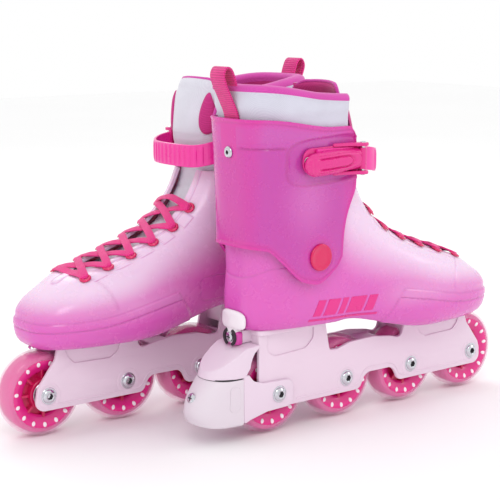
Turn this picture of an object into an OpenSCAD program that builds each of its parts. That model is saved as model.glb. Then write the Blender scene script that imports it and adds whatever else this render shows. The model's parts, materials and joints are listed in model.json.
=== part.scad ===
// A pair of soft-lined inline roller skates, four wheels in line on each.
// Each skate is drawn once, heel to toe along +X on the ground plane,
// and placed twice: the right one points along +X, the left one along -X.
// Only the right skate carries a heel brake.

/* [Wheels] */
// Outer diameter of a wheel
wheel_d = 76; // [72:1:76]
// Width of a wheel's tyre
wheel_w = 24; // [22:1:24]
// Distance between neighbouring axles
axle_pitch = 80; // [80:1:82]
// Diameter of the axle bolts
axle_d = 8; // [6:1:8]

/* [Chassis] */
// Distance between the inner faces of the two side walls
rail_gap = 30; // [29:0.5:31]
// Thickness of a side wall
rail_t = 3; // [2.5:0.5:3]
// Height of the deck between the two towers
deck_z = 72; // [70:1:73]

/* [Boot] */
// Thickness of the moulded shell
shell_t = 3; // [2.5:0.1:3]
// Thickness of the padded foot liner
liner_t = 4; // [3:0.5:5]
// Half-width of the lacing slot at the toe end
slot_half_w = 15; // [13:1:17]
// Number of eyelets on each side of the slot
eyelets = 6; // [5:1:7]
// Width of a flat lace
lace_w = 6; // [5:0.5:7]

/* [Cuff] */
// Height of the cuff's pivot above the ground
pivot_z = 158; // [156:1:160]
// Thickness of the moulded cuff
cuff_t = 3; // [2.5:0.1:3]
// Height of the ratchet strap's band
strap_h = 20; // [18:1:20]
// Height of the closing lever
lever_h = 19; // [17:1:19]

/* [Layout] */
// Distance along X between the middles of the two skates
pair_shift = 160; // [150:5:180]
// Distance across Y between the two lines of wheels
pair_gap = 112; // [112:2:140]

/* [Hidden] */
sides = ["right", "left"];
boot_parts = ["shell", "frame", "foot_liner", "tongue", "footbed", "laces", "eyelets",
              "axle_bolts", "frame_screws", "pivot_rivets"];
cuff_parts = ["cuff", "ankle_liner", "strap", "buckle_base", "pull_loop", "cuff_screws", "buckle_lever"];
wheel_parts = ["tyre", "hub", "bearings"];
brake_parts = ["brake_arm", "brake_pad"];
wheels = 4;

pink = [0.86, 0.34, 0.68];
pale_pink = [0.94, 0.76, 0.88];
hot_pink = [0.93, 0.20, 0.55];
red_pink = [0.90, 0.12, 0.40];
pale_plastic = [0.90, 0.84, 0.90];
white_cloth = [0.86, 0.85, 0.90];
steel = [0.75, 0.75, 0.78];

// Running clearance of pins, bolts and rivets in their holes
play = 0.05;
// Gap left between two pieces that lie on each other
skin_gap = 0.3;

// --- Wheels and axles -------------------------------------------------------
wheel_r = wheel_d/2;
axle_r = axle_d/2;
axle_z = wheel_r;
function axle_x(k) = (k - (wheels + 1)/2)*axle_pitch;
tyre_core_r = 30;
tyre_edge_r = wheel_r - 8;
bearing_r = 11;
bearing_w = 7;
bearing_bore_r = axle_r + play;
spacer_r = 5.6;
hub_web_t = 5;
hub_rim_t = 3;
hub_boss_t = 3;
hub_windows = 8;
hub_window_r = 4;

// --- Chassis ----------------------------------------------------------------
rail_y = rail_gap/2;
rail_out_y = rail_y + rail_t;
rail_low_z = 25;
axle_boss_r = 13;
inner_boss_r = 6.4;
sole_z = 96;
toe_sole_z = 80;
heel_tower = [-140, -70];
toe_tower = [31, 110];
tower_half_w = 21;
tower_plate_t = 6;
deck_t = 6;
wheel_well_r = wheel_r + 1.5;
sole_gap = 0.1;
tower_top_z = sole_z - sole_gap;
toe_tower_top_z = toe_sole_z - sole_gap;
mount_bolt_r = 4;
mount_bolt_x = [-84, 80];
mount_head_r = 6.5;
heel_lug = [-157, -138];
heel_lug_half_w = 9;
heel_lug_low_z = 83;
heel_tab_x = -153.6;
heel_tab_half_w = 11;
heel_tab_top_z = 114;
heel_tab_corner_r = 5;
heel_screw_z = 89;
heel_screw_x = -144;
heel_screw_r = 2.5;
heel_head_r = 4.2;
heel_head_t = 2;
bolt_head_r = 6.2;
bolt_head_t = 2.6;

// --- Brake ------------------------------------------------------------------
brake_arm_t = 3;
brake_y = rail_out_y + skin_gap;
brake_clear_r = wheel_r + 3.5;
brake_seam = 58;
brake_screw_z = 43;
brake_screw_x = -187;
brake_head_x = -202.5;
brake_head_t = 2;
brake_cover_x = -152.5;
brake_pad_x = -158;
brake_back_x = -240;

// --- Shell: tables of height against length or half-width --------------------
// Underside of the sole along the skate
sole_line = [[-160, 96], [-68, 96], [-55, 97], [-15, 89.5], [28, 81], [45, 80], [160, 80]];
// Back of the heel, tip of the nose, half-width at the heel and at the ball, by level
heel_line = [[96, -146], [99, -149], [104, -151.5], [112, -153], [122, -153], [150, -150], [175, -149]];
nose_line = [[96, 126], [99, 130], [104, 132.5], [112, 133.5], [119, 132], [126, 126], [133, 113],
             [142.5, 92], [148, 69], [154, 45.5], [161.5, 22], [172, 0.5], [188, -18], [197, -26],
             [207, -32], [220, -38]];
heel_half_w = [[96, 33], [99, 36], [104, 38.3], [112, 39.6], [122, 40], [220, 40]];
ball_half_w = [[96, 39], [99, 43], [104, 46.2], [112, 48.5], [122, 48.8], [133, 47], [150, 43],
               [170, 40], [220, 39.5]];
shell_levels = [96, 99, 104, 112, 119, 126, 133, 142.5, 148, 154, 161.5, 172, 180, 188, 197, 207, 220];
shell_floor_t = 4;
shell_steps = 44;
fade_top = 175;
waist_x = -60;
ball_x = 50;
bluntness = 3.2;
slot_front_x = 80;
slot_low_z = 120;
shell_rear_cut = [[-170, 175], [-122, 177], [-66, 214], [-60, 240], [-170, 240]];

// --- Eyelets and laces --------------------------------------------------------
eyelet_y = 25;
// Levels of the eyelets on the shell, toe end first
eyelet_levels = [142.5, 148, 154, 161.5, 172, 188];
eyelet_r = 5.2;
eyelet_hole_r = 2.4;
eyelet_bore_r = 3;
eyelet_t = 1.4;
eyelet_lift = 0.9;
lace_steps = 8;
lace_t = 1.4;
lace_end = 3.4;
lace_lift = 3.9;
lace_lean = 0.45;
// Rise of the straight first lace and of the two that cross above it
lace_rises = [4, 6, 8.6];

// --- Cuff -------------------------------------------------------------------
pivot_x = -95;
rivet_r = 5;
rivet_head_r = 11.6;
rivet_head_t = 2.4;
rivet_flange_r = 8;
rivet_flange_t = 1.2;
// Lower edge of the cuff by length, front edge, back and half-width by height
cuff_low = [[-160, 168], [-146, 167], [-134, 157], [-124, 147], [-112, 138], [-97, 135],
            [-84, 139], [-75, 146], [-69, 156]];
cuff_front = [[140, -76], [150, -71], [175, -69], [190, -66], [201, -62], [210, -58], [216, -57],
              [245, -57], [260, -58], [268, -61]];
// Front edge on the inner side, where a flap reaches further round the ankle
cuff_flap = [[140, -76], [150, -71], [175, -69], [190, -66], [206, -58], [216, -43], [226, -38],
             [252, -38], [262, -42], [268, -54]];
cuff_back = [[165, -155], [200, -155.5], [275, -159]];
cuff_half_w = [[135, 44.2], [200, 44.4], [225, 45], [250, 45.4], [275, 46.4]];
cuff_top_front = 267;
cuff_top_back = 275;
cuff_mid_x = -97;
// Share of the cuff's outline, from the middle of the back, that is curved
back_share = 0.55;
cuff_steps = 40;
cuff_rows = 12;

// --- Soft parts ---------------------------------------------------------------
liner_split_r = 57.5;
// Back of the ankle liner by height: inside the shell at first, then against the cuff
ankle_back = [[160, -145.2], [180, -145.2], [197, -149.8], [275, -153.4], [310, -153.4]];
// Front edge of the ankle liner by height on the outer and on the inner side
ankle_front = [[150, -78], [224, -78], [236, -62]];
ankle_flap = [[150, -78], [224, -78], [236, -47], [246, -42], [268, -42], [284, -48], [300, -57]];
ankle_in_y = 33.6;
ankle_thin_y = 35.3;
ankle_thin_z = 240;
ankle_top_back = 306;
ankle_top_front = 296;
ankle_back_t = 8;
// Heights of the ankle liner's rows, as shares of its whole height
collar_heights = [0, 0.12, 0.25, 0.38, 0.52, 0.62, 0.8, 0.93, 1];
tongue_half_w = 31;
tongue_t = 5;
// Middle line of the tongue's outer face, toe end first, as [x, z]
tongue_line = [[70, 137], [48, 143], [26, 151], [5, 161.5], [-12, 173], [-24, 184], [-32.5, 194.5],
               [-38.5, 205], [-42.5, 216], [-42.5, 224], [-37, 237], [-34, 254], [-37, 280], [-44, 303]];
tongue_roll = 12;
tongue_room = 2;
insole_t = 4;

// --- Strap, lever and loop ----------------------------------------------------
strap_t = 2;
strap_round = 18;
// Share of the strap's outline that goes round the front
strap_share = 0.6;
strap_side_y = 46;
strap_side_z = 240;
strap_front_z = 235;
strap_front_x = -20;
strap_fixed_x = -88;
strap_free_x = -104;
// Where the strap starts to curve, on the buckle's side and on the other
strap_corner_x = [-54, -38];
strap_lift = 1.9;
base_x = [-119, -64];
base_h = 28;
base_t = 1.4;
base_y = 45.9;
lever_x = -118;
lever_t = 6.6;
lever_y = 50.3;
hinge_x = -57;
hinge_y = 53.6;
hinge_pin_r = 1.5;
knuckle_r = 3;
ear_t = 3;
ear_r = 4.6;
screw_r = 2.4;
screw_head_r = 5;
screw_head_t = 1.8;
back_screw_z = 247;
strap_screw_x = -82;
base_screw_x = -112;
loop_half_w = 10;
loop_t = 1.6;
// Pull loop from its sewn foot, up, over and down to the collar, as [x, z]
loop_line = [[-153.1, 240], [-154.1, 262], [-154.8, 277], [-161, 291], [-167, 303], [-169, 311],
             [-166, 316.5], [-161.5, 315], [-157.8, 307], [-155.4, 297], [-154.6, 289]];

// ============================== helpers =======================================
function clamp01(t) = min(1, max(0, t));
function smooth(t) = let (c = clamp01(t)) c*c*(3 - 2*c);
function mix(a, b, t) = a + (b - a)*t;
function unit(v) = v/norm(v);
function power(v, e) = sign(v)*pow(abs(v), e);

// Two triangles of the four-sided face a, b, c, d
function quad(a, b, c, d) = [[c, b, a], [d, c, a]];
function turned(faces) = [for (f = faces) [f[2], f[1], f[0]]];

// Faces of a grid of points that starts at index k; wrap joins its last column to the first
function skin(rows, cols, k, wrap) = [
    for (i = [0:rows - 2], j = [0:cols - (wrap ? 1 : 2)])
        each quad(k + i*cols + j, k + i*cols + (j + 1) % cols,
                  k + (i + 1)*cols + (j + 1) % cols, k + (i + 1)*cols + j)];

// Faces that close one ring of an even number of points, straight across from side to side
function lid(cols, k) = concat(
    [[k, k + 1, k + cols - 1]],
    [for (j = [1:cols/2 - 2]) each [[k + j, k + j + 1, k + cols - j], [k + j + 1, k + cols - j - 1, k + cols - j]]],
    [[k + cols/2 - 1, k + cols/2, k + cols/2 + 1]]);

// Solid between two open sheets of points, a outside and b inside
module slab(a, b) {
    rows = len(a);
    cols = len(a[0]);
    n = rows*cols;
    last = (rows - 1)*cols;
    across = [for (j = [0:cols - 2]) each concat(
        quad(j + 1, j, n + j, n + j + 1),
        quad(last + j, last + j + 1, n + last + j + 1, n + last + j))];
    along = [for (i = [0:rows - 2]) each concat(
        quad(i*cols, (i + 1)*cols, n + (i + 1)*cols, n + i*cols),
        quad((i + 2)*cols - 1, (i + 1)*cols - 1, n + (i + 1)*cols - 1, n + (i + 2)*cols - 1))];
    polyhedron(concat([for (r = a) each r], [for (r = b) each r]),
               concat(skin(rows, cols, 0, false), turned(skin(rows, cols, n, false)), across, along));
}

// Solid between an outer and an inner stack of rings, closed below and open above
module cup(a, b) {
    rows = len(a);
    cols = len(a[0]);
    n = rows*cols;
    last = (rows - 1)*cols;
    rim = [for (j = [0:cols - 1]) each
        quad(last + j, last + (j + 1) % cols, n + last + (j + 1) % cols, n + last + j)];
    polyhedron(concat([for (r = a) each r], [for (r = b) each r]),
               concat(skin(rows, cols, 0, true), turned(skin(rows, cols, n, true)), rim,
                      lid(cols, 0), turned(lid(cols, n))));
}

// Closed stack of rings
module stack(a) {
    rows = len(a);
    cols = len(a[0]);
    polyhedron([for (r = a) each r],
               concat(skin(rows, cols, 0, true), lid(cols, 0), turned(lid(cols, (rows - 1)*cols))));
}

// Cylinder along Y between two places
module y_rod(x, z, y0, y1, r) {
    translate([x, min(y0, y1), z])
        rotate([-90, 0, 0])
            cylinder(h = abs(y1 - y0), r = r, $fn = 48);
}

// Cylinder along X on the middle plane
module x_rod(z, x0, x1, r) {
    translate([x0, 0, z])
        rotate([0, 90, 0])
            cylinder(h = x1 - x0, r = r, $fn = 48);
}

// Outline in the XZ plane, drawn out along Y
module y_plate(y0, y1) {
    translate([0, max(y0, y1), 0])
        rotate([90, 0, 0])
            linear_extrude(abs(y1 - y0))
                children();
}

// Right skate on the near side pointing to +X, left skate turned round beyond it
module place(side) {
    turn = side == "right" ? 0 : 180;
    rotate(turn)
        translate([pair_shift/2, -pair_gap/2, 0])
            children();
}

// ============================== boot ==========================================
// Height of a shell level at one length: the lowest levels follow the sole down to the toe
function level_z(h, x) = h + (lookup(x, sole_line) - sole_z)*smooth((fade_top - h)/(fade_top - sole_z));

// Point of the boot's surface at angle a round level h, moved inwards by an inset
function boot_point(a, h, inset) = let (
    back = lookup(h, heel_line) + inset,
    front = lookup(h + inset, nose_line) - inset,
    x = (front + back)/2 + (front - back)/2*power(cos(a), 2/bluntness),
    w = mix(lookup(h, heel_half_w), lookup(h, ball_half_w), smooth((x - waist_x)/(ball_x - waist_x))) - inset)
    [x, w*power(sin(a), 2/bluntness), level_z(h, x)];

function boot_ring(h, inset) = [for (j = [0:shell_steps - 1]) boot_point(360*j/shell_steps, h, inset)];
// Outer rings start at the sole, inner ones a floor's thickness above it
function boot_rings(inset, floor_h) = [for (h = shell_levels) boot_ring(max(h, sole_z + floor_h), inset)];
function rising_rings(inset, floor_h) = let (n = len(shell_levels) - 1)
    [for (i = [0:n]) boot_ring(mix(sole_z + floor_h, shell_levels[n], pow(i/n, 1.15)), inset)];

// Eyelet i: its level, place on the boot's surface and outward direction
function eyelet_level(i) = eyelet_levels[i];
function eyelet_angle(h) = asin(pow(eyelet_y/lookup(h, ball_half_w), bluntness/2));
function eyelet_point(i, s) = let (h = eyelet_level(i)) boot_point(s*eyelet_angle(h), h, 0);
function eyelet_normal(i, s) = let (
    h = eyelet_level(i),
    a = s*eyelet_angle(h),
    along = boot_point(a + 4, h, 0) - boot_point(a - 4, h, 0),
    up = boot_point(a, h + 3, 0) - boot_point(a, h - 3, 0),
    n = unit(cross(along, up)))
    n[2] < 0 ? -n : n;

// Children turned so that their +Z points along v
module aim(p, v) {
    translate(p)
        rotate([0, acos(v[2]), atan2(v[1], v[0])])
            children();
}

module lacing_slot(extra) {
    w = slot_half_w + extra;
    translate([0, 0, slot_low_z]) {
        translate([-110, -w, 0])
            cube([slot_front_x - w + 110, 2*w, 130]);
        translate([slot_front_x - w, 0, 0])
            cylinder(h = 130, r = w, $fn = 48);
    }
}

module shell() {
    color(pale_pink)
        difference() {
            cup(boot_rings(0, 0), rising_rings(shell_t, shell_floor_t));
            lacing_slot(0);
            y_plate(-60, 60)
                polygon(shell_rear_cut);
            for (s = [-1, 1]) {
                y_rod(pivot_x, pivot_z, s*30, s*50, rivet_r + play);
                y_rod(pivot_x, pivot_z, s*30, s*(40 - shell_t + rivet_flange_t), rivet_flange_r + play);
                for (i = [0:eyelets - 1])
                    aim(eyelet_point(i, s), eyelet_normal(i, s))
                        translate([0, 0, -8])
                            cylinder(h = 16, r = eyelet_bore_r + play, $fn = 32);
            }
            for (x = mount_bolt_x)
                translate([x, 0, toe_sole_z - 10])
                    cylinder(h = sole_z - toe_sole_z + 20, r = mount_bolt_r + play, $fn = 32);
        }
}

module foot_liner() {
    outer = shell_t + 0.5;
    inner = outer + liner_t;
    color(white_cloth)
        difference() {
            intersection() {
                cup(rising_rings(outer, shell_floor_t + 0.5), rising_rings(inner, shell_floor_t + 0.5 + liner_t));
                y_plate(-60, 60)
                    foot_liner_side();
            }
            lacing_slot(tongue_half_w - slot_half_w + tongue_room);
        }
}

// Side view of what belongs to the foot: all in front of the ankle, and a round part about the pivot
module foot_liner_side() {
    translate([pivot_x, pivot_z])
        circle(r = liner_split_r - 1, $fn = 96);
    translate([-160, 70])
        square([320, 86]);
    translate([-36, 150])
        square([180, 60]);
}

module footbed() {
    low = shell_floor_t + 1 + liner_t;
    inset = shell_t + 1 + liner_t;
    color(pale_pink)
        stack([boot_ring(sole_z + low, inset), boot_ring(sole_z + low + insole_t, inset)]);
}

// Row i of the tongue, across the skate, sunk by a depth below its outer face
function line_dir(line, i) = unit(line[min(len(line) - 1, i + 1)] - line[max(0, i - 1)]);
function tongue_row(i, depth) = let (
    p = tongue_line[i],
    d = line_dir(tongue_line, i),
    w = tongue_half_w*mix(0.6, 1, smooth(i/5)) - depth*0.2)
    [for (j = [-6:6]) let (
        c = j/6,
        sag = depth + tongue_roll*pow(abs(c), 2.4)*mix(0.35, 1, smooth(i/6)))
        [p[0] - d[1]*sag, w*c, p[1] + d[0]*sag]];

module tongue() {
    rows = [0:len(tongue_line) - 1];
    color(white_cloth)
        slab([for (i = rows) tongue_row(i, 0)], [for (i = rows) tongue_row(i, tongue_t)]);
}

// Flat lace from eyelet a to eyelet b, arched over the tongue by a rise
function lace_mid(a, b, rise, t) = let (
    p = mix(a, b, t),
    bow = 4*t*(1 - t))
    p + [rise*bow*lace_lean, 0, rise*bow];
function lace_row(a, b, rise, lift, wide) = [for (k = [0:lace_steps]) let (
    t = k/lace_steps,
    p = lace_mid(a, b, rise, t),
    d = unit(lace_mid(a, b, rise, t + 0.01) - lace_mid(a, b, rise, t - 0.01)),
    up = unit([lace_lean, 0, 2*lace_lean]),
    side = unit(cross(up, d)))
    p + up*lift + side*wide];
module lace(a, b, rise) {
    slab([lace_row(a, b, rise, lace_t, -lace_w/2), lace_row(a, b, rise, lace_t, lace_w/2)],
         [lace_row(a, b, rise, 0, -lace_w/2), lace_row(a, b, rise, 0, lace_w/2)]);
}
function lace_start(i, s) = eyelet_point(i, s) + eyelet_normal(i, s)*(eyelet_t + lace_lift) - [0, s*lace_end, 0];

module laces() {
    color(hot_pink) {
        lace(lace_start(0, -1), lace_start(0, 1), lace_rises[0]);
        for (i = [0:eyelets - 2]) {
            lace(lace_start(i, -1), lace_start(i + 1, 1), lace_rises[1]);
            lace(lace_start(i, 1), lace_start(i + 1, -1), lace_rises[2]);
        }
    }
}

module eyelet_rings() {
    color(red_pink)
        for (s = [-1, 1], i = [0:eyelets - 1])
            aim(eyelet_point(i, s), eyelet_normal(i, s))
                difference() {
                    union() {
                        translate([0, 0, eyelet_lift])
                            cylinder(h = eyelet_t, r = eyelet_r, $fn = 48);
                        translate([0, 0, -2.6])
                            cylinder(h = 3, r = eyelet_bore_r, $fn = 32);
                    }
                    translate([0, 0, -5])
                        cylinder(h = 12, r = eyelet_hole_r, $fn = 32);
                }
}

// ============================== chassis =======================================
// Side view of one wall: bosses round the axles, straight runs, an arch between the pairs
module rail_side() {
    first = axle_x(1);
    last = axle_x(wheels);
    difference() {
        union() {
            for (k = [1:wheels])
                translate([axle_x(k), axle_z])
                    circle(r = axle_boss_r, $fn = 64);
            polygon([[heel_tower[0], tower_top_z], [heel_tower[0], 52], [first - 12, 34],
                     [first, rail_low_z], [axle_x(2), rail_low_z], [axle_x(2) + 22, 36],
                     [axle_x(3) - 22, 36], [axle_x(3), rail_low_z], [last, rail_low_z],
                     [last + 12, 43], [toe_tower[1] + 4, 66], [toe_tower[1], toe_tower_top_z],
                     [toe_tower[0], toe_tower_top_z], [toe_tower[0] - 6, deck_z],
                     [heel_tower[1] + 8, deck_z], [heel_tower[1], tower_top_z]]);
        }
        translate([0, 14])
            circle(r = 25, $fn = 96);
    }
}

module tower(span, top) {
    translate([span[0], -tower_half_w, top - tower_plate_t])
        cube([span[1] - span[0], 2*tower_half_w, tower_plate_t]);
}

// Upright tab of the frame behind the heel of the boot
module heel_tab() {
    low = heel_lug_low_z + heel_tab_corner_r;
    high = heel_tab_top_z - heel_tab_corner_r;
    side = heel_tab_half_w - heel_tab_corner_r;
    hull()
        for (y = [-side, side], z = [low, high])
            translate([heel_lug[0], y, z])
                rotate([0, 90, 0])
                    cylinder(h = heel_tab_x - heel_lug[0], r = heel_tab_corner_r, $fn = 32);
}

module frame() {
    color(pale_plastic)
        difference() {
            union() {
                for (s = [-1, 1]) {
                    y_plate(s*rail_y, s*rail_out_y)
                        rail_side();
                    for (k = [1:wheels])
                        y_rod(axle_x(k), axle_z, s*(wheel_w/2 + 0.3), s*(rail_y + 0.5), inner_boss_r);
                }
                tower(heel_tower, tower_top_z);
                tower(toe_tower, toe_tower_top_z);
                translate([heel_tower[1] - 2, -rail_out_y, deck_z - deck_t])
                    cube([toe_tower[0] - heel_tower[1] + 4, 2*rail_out_y, deck_t]);
                translate([heel_lug[0], -heel_lug_half_w, heel_lug_low_z])
                    cube([heel_lug[1] - heel_lug[0], 2*heel_lug_half_w, tower_top_z - heel_lug_low_z]);
                heel_tab();
            }
            for (k = [1:wheels]) {
                y_rod(axle_x(k), axle_z, -(wheel_w/2 + 0.8), wheel_w/2 + 0.8, wheel_well_r);
                y_rod(axle_x(k), axle_z, -30, 30, axle_r + play);
            }
            for (x = mount_bolt_x)
                translate([x, 0, 60])
                    cylinder(h = 50, r = mount_bolt_r + play, $fn = 32);
            x_rod(heel_screw_z, heel_lug[0] - 5, heel_screw_x + play, heel_screw_r + play);
        }
}

// One axle bolt with a domed head at each end; the head stands outside a stack of this half-width
module axle_bolt(k, half_w) {
    y_rod(axle_x(k), axle_z, -half_w, half_w, axle_r);
    for (s = [-1, 1])
        y_rod(axle_x(k), axle_z, s*half_w, s*(half_w + bolt_head_t), bolt_head_r);
}

function clamp_half_w(side, k) = rail_out_y + 0.05
    + (side == "right" && k == 1 ? brake_arm_t + skin_gap : 0);

module axle_bolts(side) {
    color(steel)
        for (k = [1:wheels])
            axle_bolt(k, clamp_half_w(side, k));
}

module frame_screws(side) {
    tops = [tower_top_z, toe_tower_top_z];
    color(steel) {
        for (i = [0, 1])
            translate([mount_bolt_x[i], 0, tops[i]]) {
                translate([0, 0, -tower_plate_t - 3.1])
                    cylinder(h = 3, r = mount_head_r, $fn = 48);
                translate([0, 0, -tower_plate_t - 1])
                    cylinder(h = tower_plate_t + 1 + shell_floor_t, r = mount_bolt_r, $fn = 32);
            }
        x_rod(heel_screw_z, heel_lug[0] - 1, heel_screw_x, heel_screw_r);
        x_rod(heel_screw_z, heel_lug[0] - 0.1 - heel_head_t, heel_lug[0] - 0.1, heel_head_r);
        if (side == "right") {
            x_rod(brake_screw_z, brake_head_x - 1, brake_screw_x, screw_r);
            x_rod(brake_screw_z, brake_head_x - brake_head_t, brake_head_x, screw_head_r);
        }
    }
}

// ============================== brake =========================================
// Side view of the whole brake, arm and pad together
module brake_side() {
    polygon([[-106, 26], [-106, 49], [-137, 50], [-146, 53.5], [-150.5, 63], [-147, 74], [-141, 79],
             [-141, 84], [-150, 84], [-166, 74], [-183, 60], [-199, 52], [-207, 34], [-160, 18],
             [-152, 22], [-134, 22]]);
}

module brake_fork(s) {
    difference() {
        y_plate(s*brake_y, s*(brake_y + brake_arm_t))
            difference() {
                brake_side();
                translate([brake_back_x, -10])
                    square([brake_pad_x - brake_back_x, brake_seam + 10]);
            }
        y_rod(axle_x(1), axle_z, -40, 40, axle_r + play);
    }
}

module brake_arm() {
    color(pale_plastic) {
        difference() {
            union() {
                brake_fork(-1);
                brake_fork(1);
                y_plate(-brake_y - 0.5, brake_y + 0.5)
                    intersection() {
                        brake_side();
                        translate([brake_back_x, brake_seam])
                            square([brake_cover_x - brake_back_x, 40]);
                    }
            }
            y_rod(axle_x(1), axle_z, -17, 17, brake_clear_r);
        }
    }
}

module brake_pad() {
    color(pale_pink)
        difference() {
            y_plate(-brake_y - brake_arm_t, brake_y + brake_arm_t)
                intersection() {
                    brake_side();
                    translate([brake_back_x, 10])
                        square([brake_pad_x - brake_back_x - skin_gap, brake_seam - 10 - skin_gap]);
                }
            y_rod(axle_x(1), axle_z, -40, 40, brake_clear_r);
            x_rod(brake_screw_z, brake_back_x, brake_screw_x + play, screw_r + play);
            x_rod(brake_screw_z, brake_back_x, brake_head_x + 0.1, screw_head_r + play);
        }
}

// ============================== wheels ========================================
module at_axle(k) {
    translate([axle_x(k), 0, axle_z])
        rotate([-90, 0, 0])
            children();
}

module tyre(k) {
    half = wheel_w/2;
    color("white", 0.8)
        at_axle(k)
            rotate_extrude($fn = 96)
                difference() {
                    union() {
                        translate([tyre_core_r, -half])
                            square([tyre_edge_r - tyre_core_r + 4, wheel_w]);
                        translate([wheel_r - 13.5, 0])
                            circle(r = 13.5, $fn = 96);
                    }
                    translate([-40, -40])
                        square([40 + tyre_core_r, 80]);
                    for (s = [0, 1])
                        mirror([0, s])
                            translate([0, half])
                                square([60, 10]);
                }
}

module hub(k) {
    color(hot_pink)
        at_axle(k)
            difference() {
                union() {
                    difference() {
                        cylinder(h = wheel_w, r = tyre_core_r - play, center = true, $fn = 96);
                        cylinder(h = wheel_w + 2, r = tyre_core_r - hub_rim_t, center = true, $fn = 96);
                    }
                    cylinder(h = hub_web_t, r = tyre_core_r - 1, center = true, $fn = 96);
                    cylinder(h = wheel_w, r = bearing_r + hub_boss_t, center = true, $fn = 96);
                }
                cylinder(h = wheel_w + 2, r = bearing_r - 2, center = true, $fn = 64);
                for (s = [0, 1])
                    mirror([0, 0, s])
                        translate([0, 0, wheel_w/2 - bearing_w])
                            cylinder(h = bearing_w + 1, r = bearing_r + play, $fn = 64);
                for (i = [0:hub_windows - 1])
                    rotate(360*i/hub_windows)
                        translate([(tyre_core_r + bearing_r)/2, 0, -wheel_w/2])
                            cylinder(h = wheel_w, r = hub_window_r, $fn = 24);
            }
}

// Two ball bearings, drawn whole, with the spacer tube that keeps them apart
module bearings(k) {
    gap = wheel_w - 2*bearing_w;
    color(steel)
        at_axle(k) {
            for (s = [0, 1])
                mirror([0, 0, s])
                    translate([0, 0, gap/2])
                        difference() {
                            cylinder(h = bearing_w, r = bearing_r, $fn = 64);
                            translate([0, 0, -1])
                                cylinder(h = bearing_w + 2, r = bearing_bore_r, $fn = 48);
                        }
            difference() {
                cylinder(h = gap - 0.1, r = spacer_r, center = true, $fn = 48);
                cylinder(h = gap + 2, r = bearing_bore_r, center = true, $fn = 48);
            }
        }
}

// ============================== cuff ==========================================
// Point of the U-shaped cuff at height z; u runs from -1 to 1, from one front edge round the back
function cuff_point(u, z, inset) = let (
    side = abs(u),
    back = lookup(z, cuff_back) + inset,
    front = lookup(z, u > 0 ? cuff_flap : cuff_front),
    w = lookup(z, cuff_half_w) - inset,
    a = 90*side/back_share,
    t = (side - back_share)/(1 - back_share),
    x = side < back_share ? cuff_mid_x - (cuff_mid_x - back)*power(cos(a), 2/bluntness) : mix(cuff_mid_x, front, t),
    y = side < back_share ? w*power(sin(a), 2/bluntness) : w)
    [x, u < 0 ? -y : y, z];

function cuff_grid(inset) = [for (i = [0:cuff_rows])
    [for (j = [0:cuff_steps]) let (
        u = 2*j/cuff_steps - 1,
        x = cuff_point(u, 170, 0)[0],
        top = mix(cuff_top_back, cuff_top_front, smooth((x + 150)/70)),
        z = mix(lookup(x, cuff_low), top, pow(i/cuff_rows, 1.15)))
        cuff_point(u, z, inset)]];

module cuff() {
    color(pink)
        difference() {
            slab(cuff_grid(0), cuff_grid(cuff_t));
            y_rod(pivot_x, pivot_z, -60, 60, rivet_r + play);
            y_rod(strap_screw_x, strap_side_z, 30, 60, screw_r + play);
            y_rod(base_screw_x, strap_side_z, -60, -30, screw_r + play);
            translate([-170, 0, back_screw_z])
                rotate([0, 90, 0])
                    cylinder(h = 25, r = screw_r + play, $fn = 32);
        }
}

// Padded collar behind and beside the ankle, cut free of the foot liner on a round line
function collar_point(u, z, inner) = let (
    side = abs(u),
    thick = smooth((z - ankle_thin_z)/6),
    out_w = mix(ankle_thin_y, min(lookup(z, cuff_half_w) - cuff_t, 43) - skin_gap, thick),
    in_w = ankle_in_y,
    back = lookup(z, ankle_back) + (inner ? ankle_back_t : 0),
    front = lookup(z, u > 0 ? ankle_flap : ankle_front),
    w = inner ? in_w : out_w,
    a = 90*side/back_share,
    t = (side - back_share)/(1 - back_share),
    x = side < back_share ? cuff_mid_x - (cuff_mid_x - back)*power(cos(a), 2/bluntness) : mix(cuff_mid_x, front, t),
    y = side < back_share ? w*power(sin(a), 2/bluntness) : w)
    [x, u < 0 ? -y : y, z];

// Lowest height of the collar at one length: on the circle round the pivot
function collar_low(x) = pivot_z + sqrt(max(0, pow(liner_split_r + 1.2, 2) - pow(x - pivot_x, 2)));
function collar_grid(inner) = [for (t = collar_heights)
    [for (j = [0:cuff_steps]) let (
        u = 2*j/cuff_steps - 1,
        x = collar_point(u, 180, inner)[0],
        top = mix(ankle_top_back, ankle_top_front, smooth((x + 150)/80)))
        collar_point(u, mix(collar_low(x) + 0.4, top, t), inner)]];

module ankle_liner() {
    color(white_cloth)
        slab(collar_grid(false), collar_grid(true));
}

// ============================== strap, lever, loop ============================
// Middle of the strap seen from above: from its fixed end, round the front, to its free end
function strap_xy(u, offset) = let (
    side = abs(u),
    wall = strap_side_y + (u < 0 ? strap_lift : 0) + offset,
    end = u < 0 ? strap_free_x : strap_fixed_x,
    corner = strap_corner_x[u < 0 ? 0 : 1],
    a = 90*side/strap_share,
    t = (side - strap_share)/(1 - strap_share),
    x = side < strap_share ? corner + (strap_front_x + offset - corner)*power(cos(a), 2/2.3) : mix(corner, end, t),
    y = side < strap_share ? wall*power(sin(a), 2/2.3) : wall)
    [x, u < 0 ? -y : y];
function strap_mid_z(u) = mix(strap_front_z, strap_side_z, smooth((abs(u) - 0.2)/0.5));
function strap_row(offset, rise) = [for (j = [-strap_round:strap_round]) let (
    u = j/strap_round,
    p = strap_xy(u, offset))
    [p[0], p[1], strap_mid_z(u) + rise]];

module strap() {
    color(hot_pink)
        difference() {
            slab([strap_row(strap_t, -strap_h/2), strap_row(strap_t, strap_h/2)],
                 [strap_row(0, -strap_h/2), strap_row(0, strap_h/2)]);
            y_rod(strap_screw_x, strap_side_z, 30, 60, screw_r + play);
        }
}

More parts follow.
